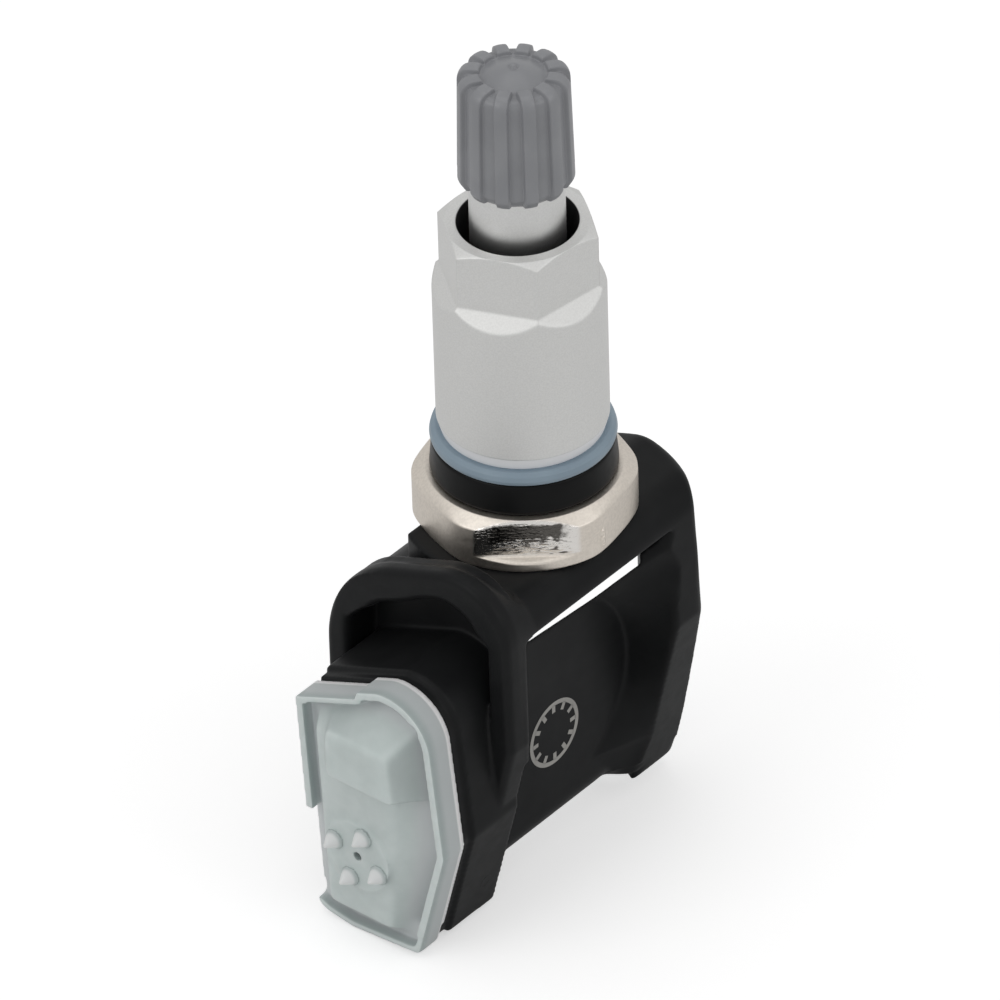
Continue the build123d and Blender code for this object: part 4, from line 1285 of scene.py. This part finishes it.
link(
    shader,
    Base_Color=painted_dark.blend(mirror, (0.13, 0.122, 0.112)),
    Roughness=0.42 - 0.27 * on_flat + 0.1 * (grain(spot, 2.0) - 0.5),
    Normal=raised(spot, 9 * ripple * on_flat + grain(spot, 0.25), 0.008),
)
for plated in (collar_piece, plating_run):
    plated.data.materials.append(nickel)
print("nickel done")

# %% [markdown]
# ## Milky plastic
#
# The cover is a natural, unpigmented plastic: light goes in, scatters and comes out again. Glass
# with fog would be slow and noisy, so subsurface scattering carries the softness. Its walls are
# painted darker and greener than its faces: painted shade, picked by the surface's own direction.
# The prongs and the rim's edge are painted nearly white, a painted glow through the thin plastic.

# %% Milky plastic
milk, spot, shader = finish(
    "milk",
    IOR=1.45,
    Specular_IOR_Level=0.4,
    Subsurface_Weight=0.8,
    Subsurface_Radius=(1.0, 1.05, 1.04),
    Subsurface_Scale=1.3 * mm,
)
depth = place_along(spot, 0)
outward = place_along(spot.make("TexCoord", out="Normal"), 0)
# Walls that face sideways take the darker, greener tone: painted shade by the surface's direction.
unshaded_face = outward.between(-0.35, -0.85)
swirl = grain(spot, 2.2, 3.0).between(0.3, 0.7)
tray_tone = unshaded_face.blend((0.55, 0.58, 0.583), (0.70, 0.73, 0.735))
tub_face = swirl.blend((0.66, 0.73, 0.715), (0.71, 0.78, 0.765))
tub_tone = unshaded_face.blend((0.42, 0.47, 0.465), tub_face)
tone = depth.between(moat_brim, moat_brim - 1).blend(tray_tone, tub_tone)
from_boss = distance(spot, (boss_face, -boss.x, boss.y), (0, 1, 1))
# The prongs are painted nearly white: a painted glow through the thin plastic.
prong_glow = depth.between(boss_face - 0.1, boss_face - 0.5)
prong_glow = prong_glow * from_boss.between(boss_radius + 0.4, boss_radius)
tone = prong_glow.blend(tone, (0.88, 0.90, 0.895))
# The rim's edge is painted nearly white: a painted glow through the thin plastic.
rim_edge_glow = depth.between(moat_floor - 0.3, moat_floor - 0.1)
link(
    shader,
    Base_Color=rim_edge_glow.blend(tone, (0.95, 0.955, 0.955)),
    Roughness=0.42 + 0.12 * (grain(spot, 0.9) - 0.5),
    Normal=raised(spot, grain(spot, 0.5, 3.0), 0.008),
)
cover_piece.data.materials.append(milk)
print("cover done")


# %% [markdown]
# ## Inner parts
#
# The circuit, the battery, the valve core and the clamp screw are covered at rest, but the clamp
# screw and the potting are seen from behind and the core once the cap is off. They keep their CAD
# shapes, which are crisp small parts anyway, and each gets a plain finish of its own.


# %% Inner parts
def coat(material, *nodes):
    """Gives a finish to CAD nodes that keep their own mesh."""
    for node in nodes:
        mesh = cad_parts[node].data
        mesh.materials.clear()
        mesh.materials.append(material)


def metal(name, dark, light, rough):
    """A plain metal with handling marks."""
    material, spot, shader = finish(name, Metallic=1.0)
    link(
        shader,
        Base_Color=grain(spot, 1.5, 3.0).between(0.3, 0.7).blend(dark, light),
        Roughness=rough + 0.15 * (grain(spot, 0.4, 3.0) - 0.5),
        Normal=raised(spot, grain(spot, 0.15, 2.0), 0.003),
    )
    return material


gasket_rubber = plastic(
    "gasket_rubber", (0.010, 0.010, 0.011), (0.014, 0.014, 0.015), 0.3, 0.006, 0.6
)
seal_red = plastic("seal_red", (0.30, 0.05, 0.03), (0.36, 0.06, 0.04), 0.3, 0.004, 0.5)
board_green = plastic("board_green", (0.012, 0.07, 0.03), (0.018, 0.09, 0.04), 0.4, 0.004, 0.35)
chip_black = plastic("chip_black", (0.012, 0.012, 0.013), (0.018, 0.018, 0.019), 0.2, 0.004, 0.5)
chip_tan = plastic("chip_tan", (0.36, 0.26, 0.16), (0.42, 0.31, 0.20), 0.3, 0.004, 0.45)
resin_black = plastic("resin_black", (0.010, 0.010, 0.011), (0.016, 0.016, 0.017), 1.5, 0.05, 0.25)
tin = metal("tin_can", (0.55, 0.54, 0.52), (0.63, 0.62, 0.60), 0.25)
coat(gasket_rubber, "cap_gasket", "port_seal")
coat(seal_red, "core_seal", "barrel_seal")
coat(board_green, "circuit_board")
coat(chip_black, "pressure_chip", "wake_coil")
coat(chip_tan, "small_parts")
coat(resin_black, "potting_compound")
coat(tin, "crystal_can", "antenna_strip", "battery_tab_front", "battery_tab_back")
coat(metal("copper_wire", (0.45, 0.18, 0.08), (0.55, 0.24, 0.11), 0.3), "coil_winding")
coat(metal("battery_steel", (0.50, 0.50, 0.49), (0.58, 0.58, 0.57), 0.22), "battery_cell")
coat(metal("brass", (0.52, 0.38, 0.16), (0.60, 0.45, 0.20), 0.3), "core_body", "core_pin")
coat(metal("spring_steel", (0.38, 0.38, 0.38), (0.46, 0.46, 0.46), 0.25), "core_spring")
zinc = metal("zinc_screw", (0.46, 0.46, 0.45), (0.56, 0.56, 0.55), 0.32)
coat(zinc, "clamp_screw", "lock_washer")
print("inner parts done")
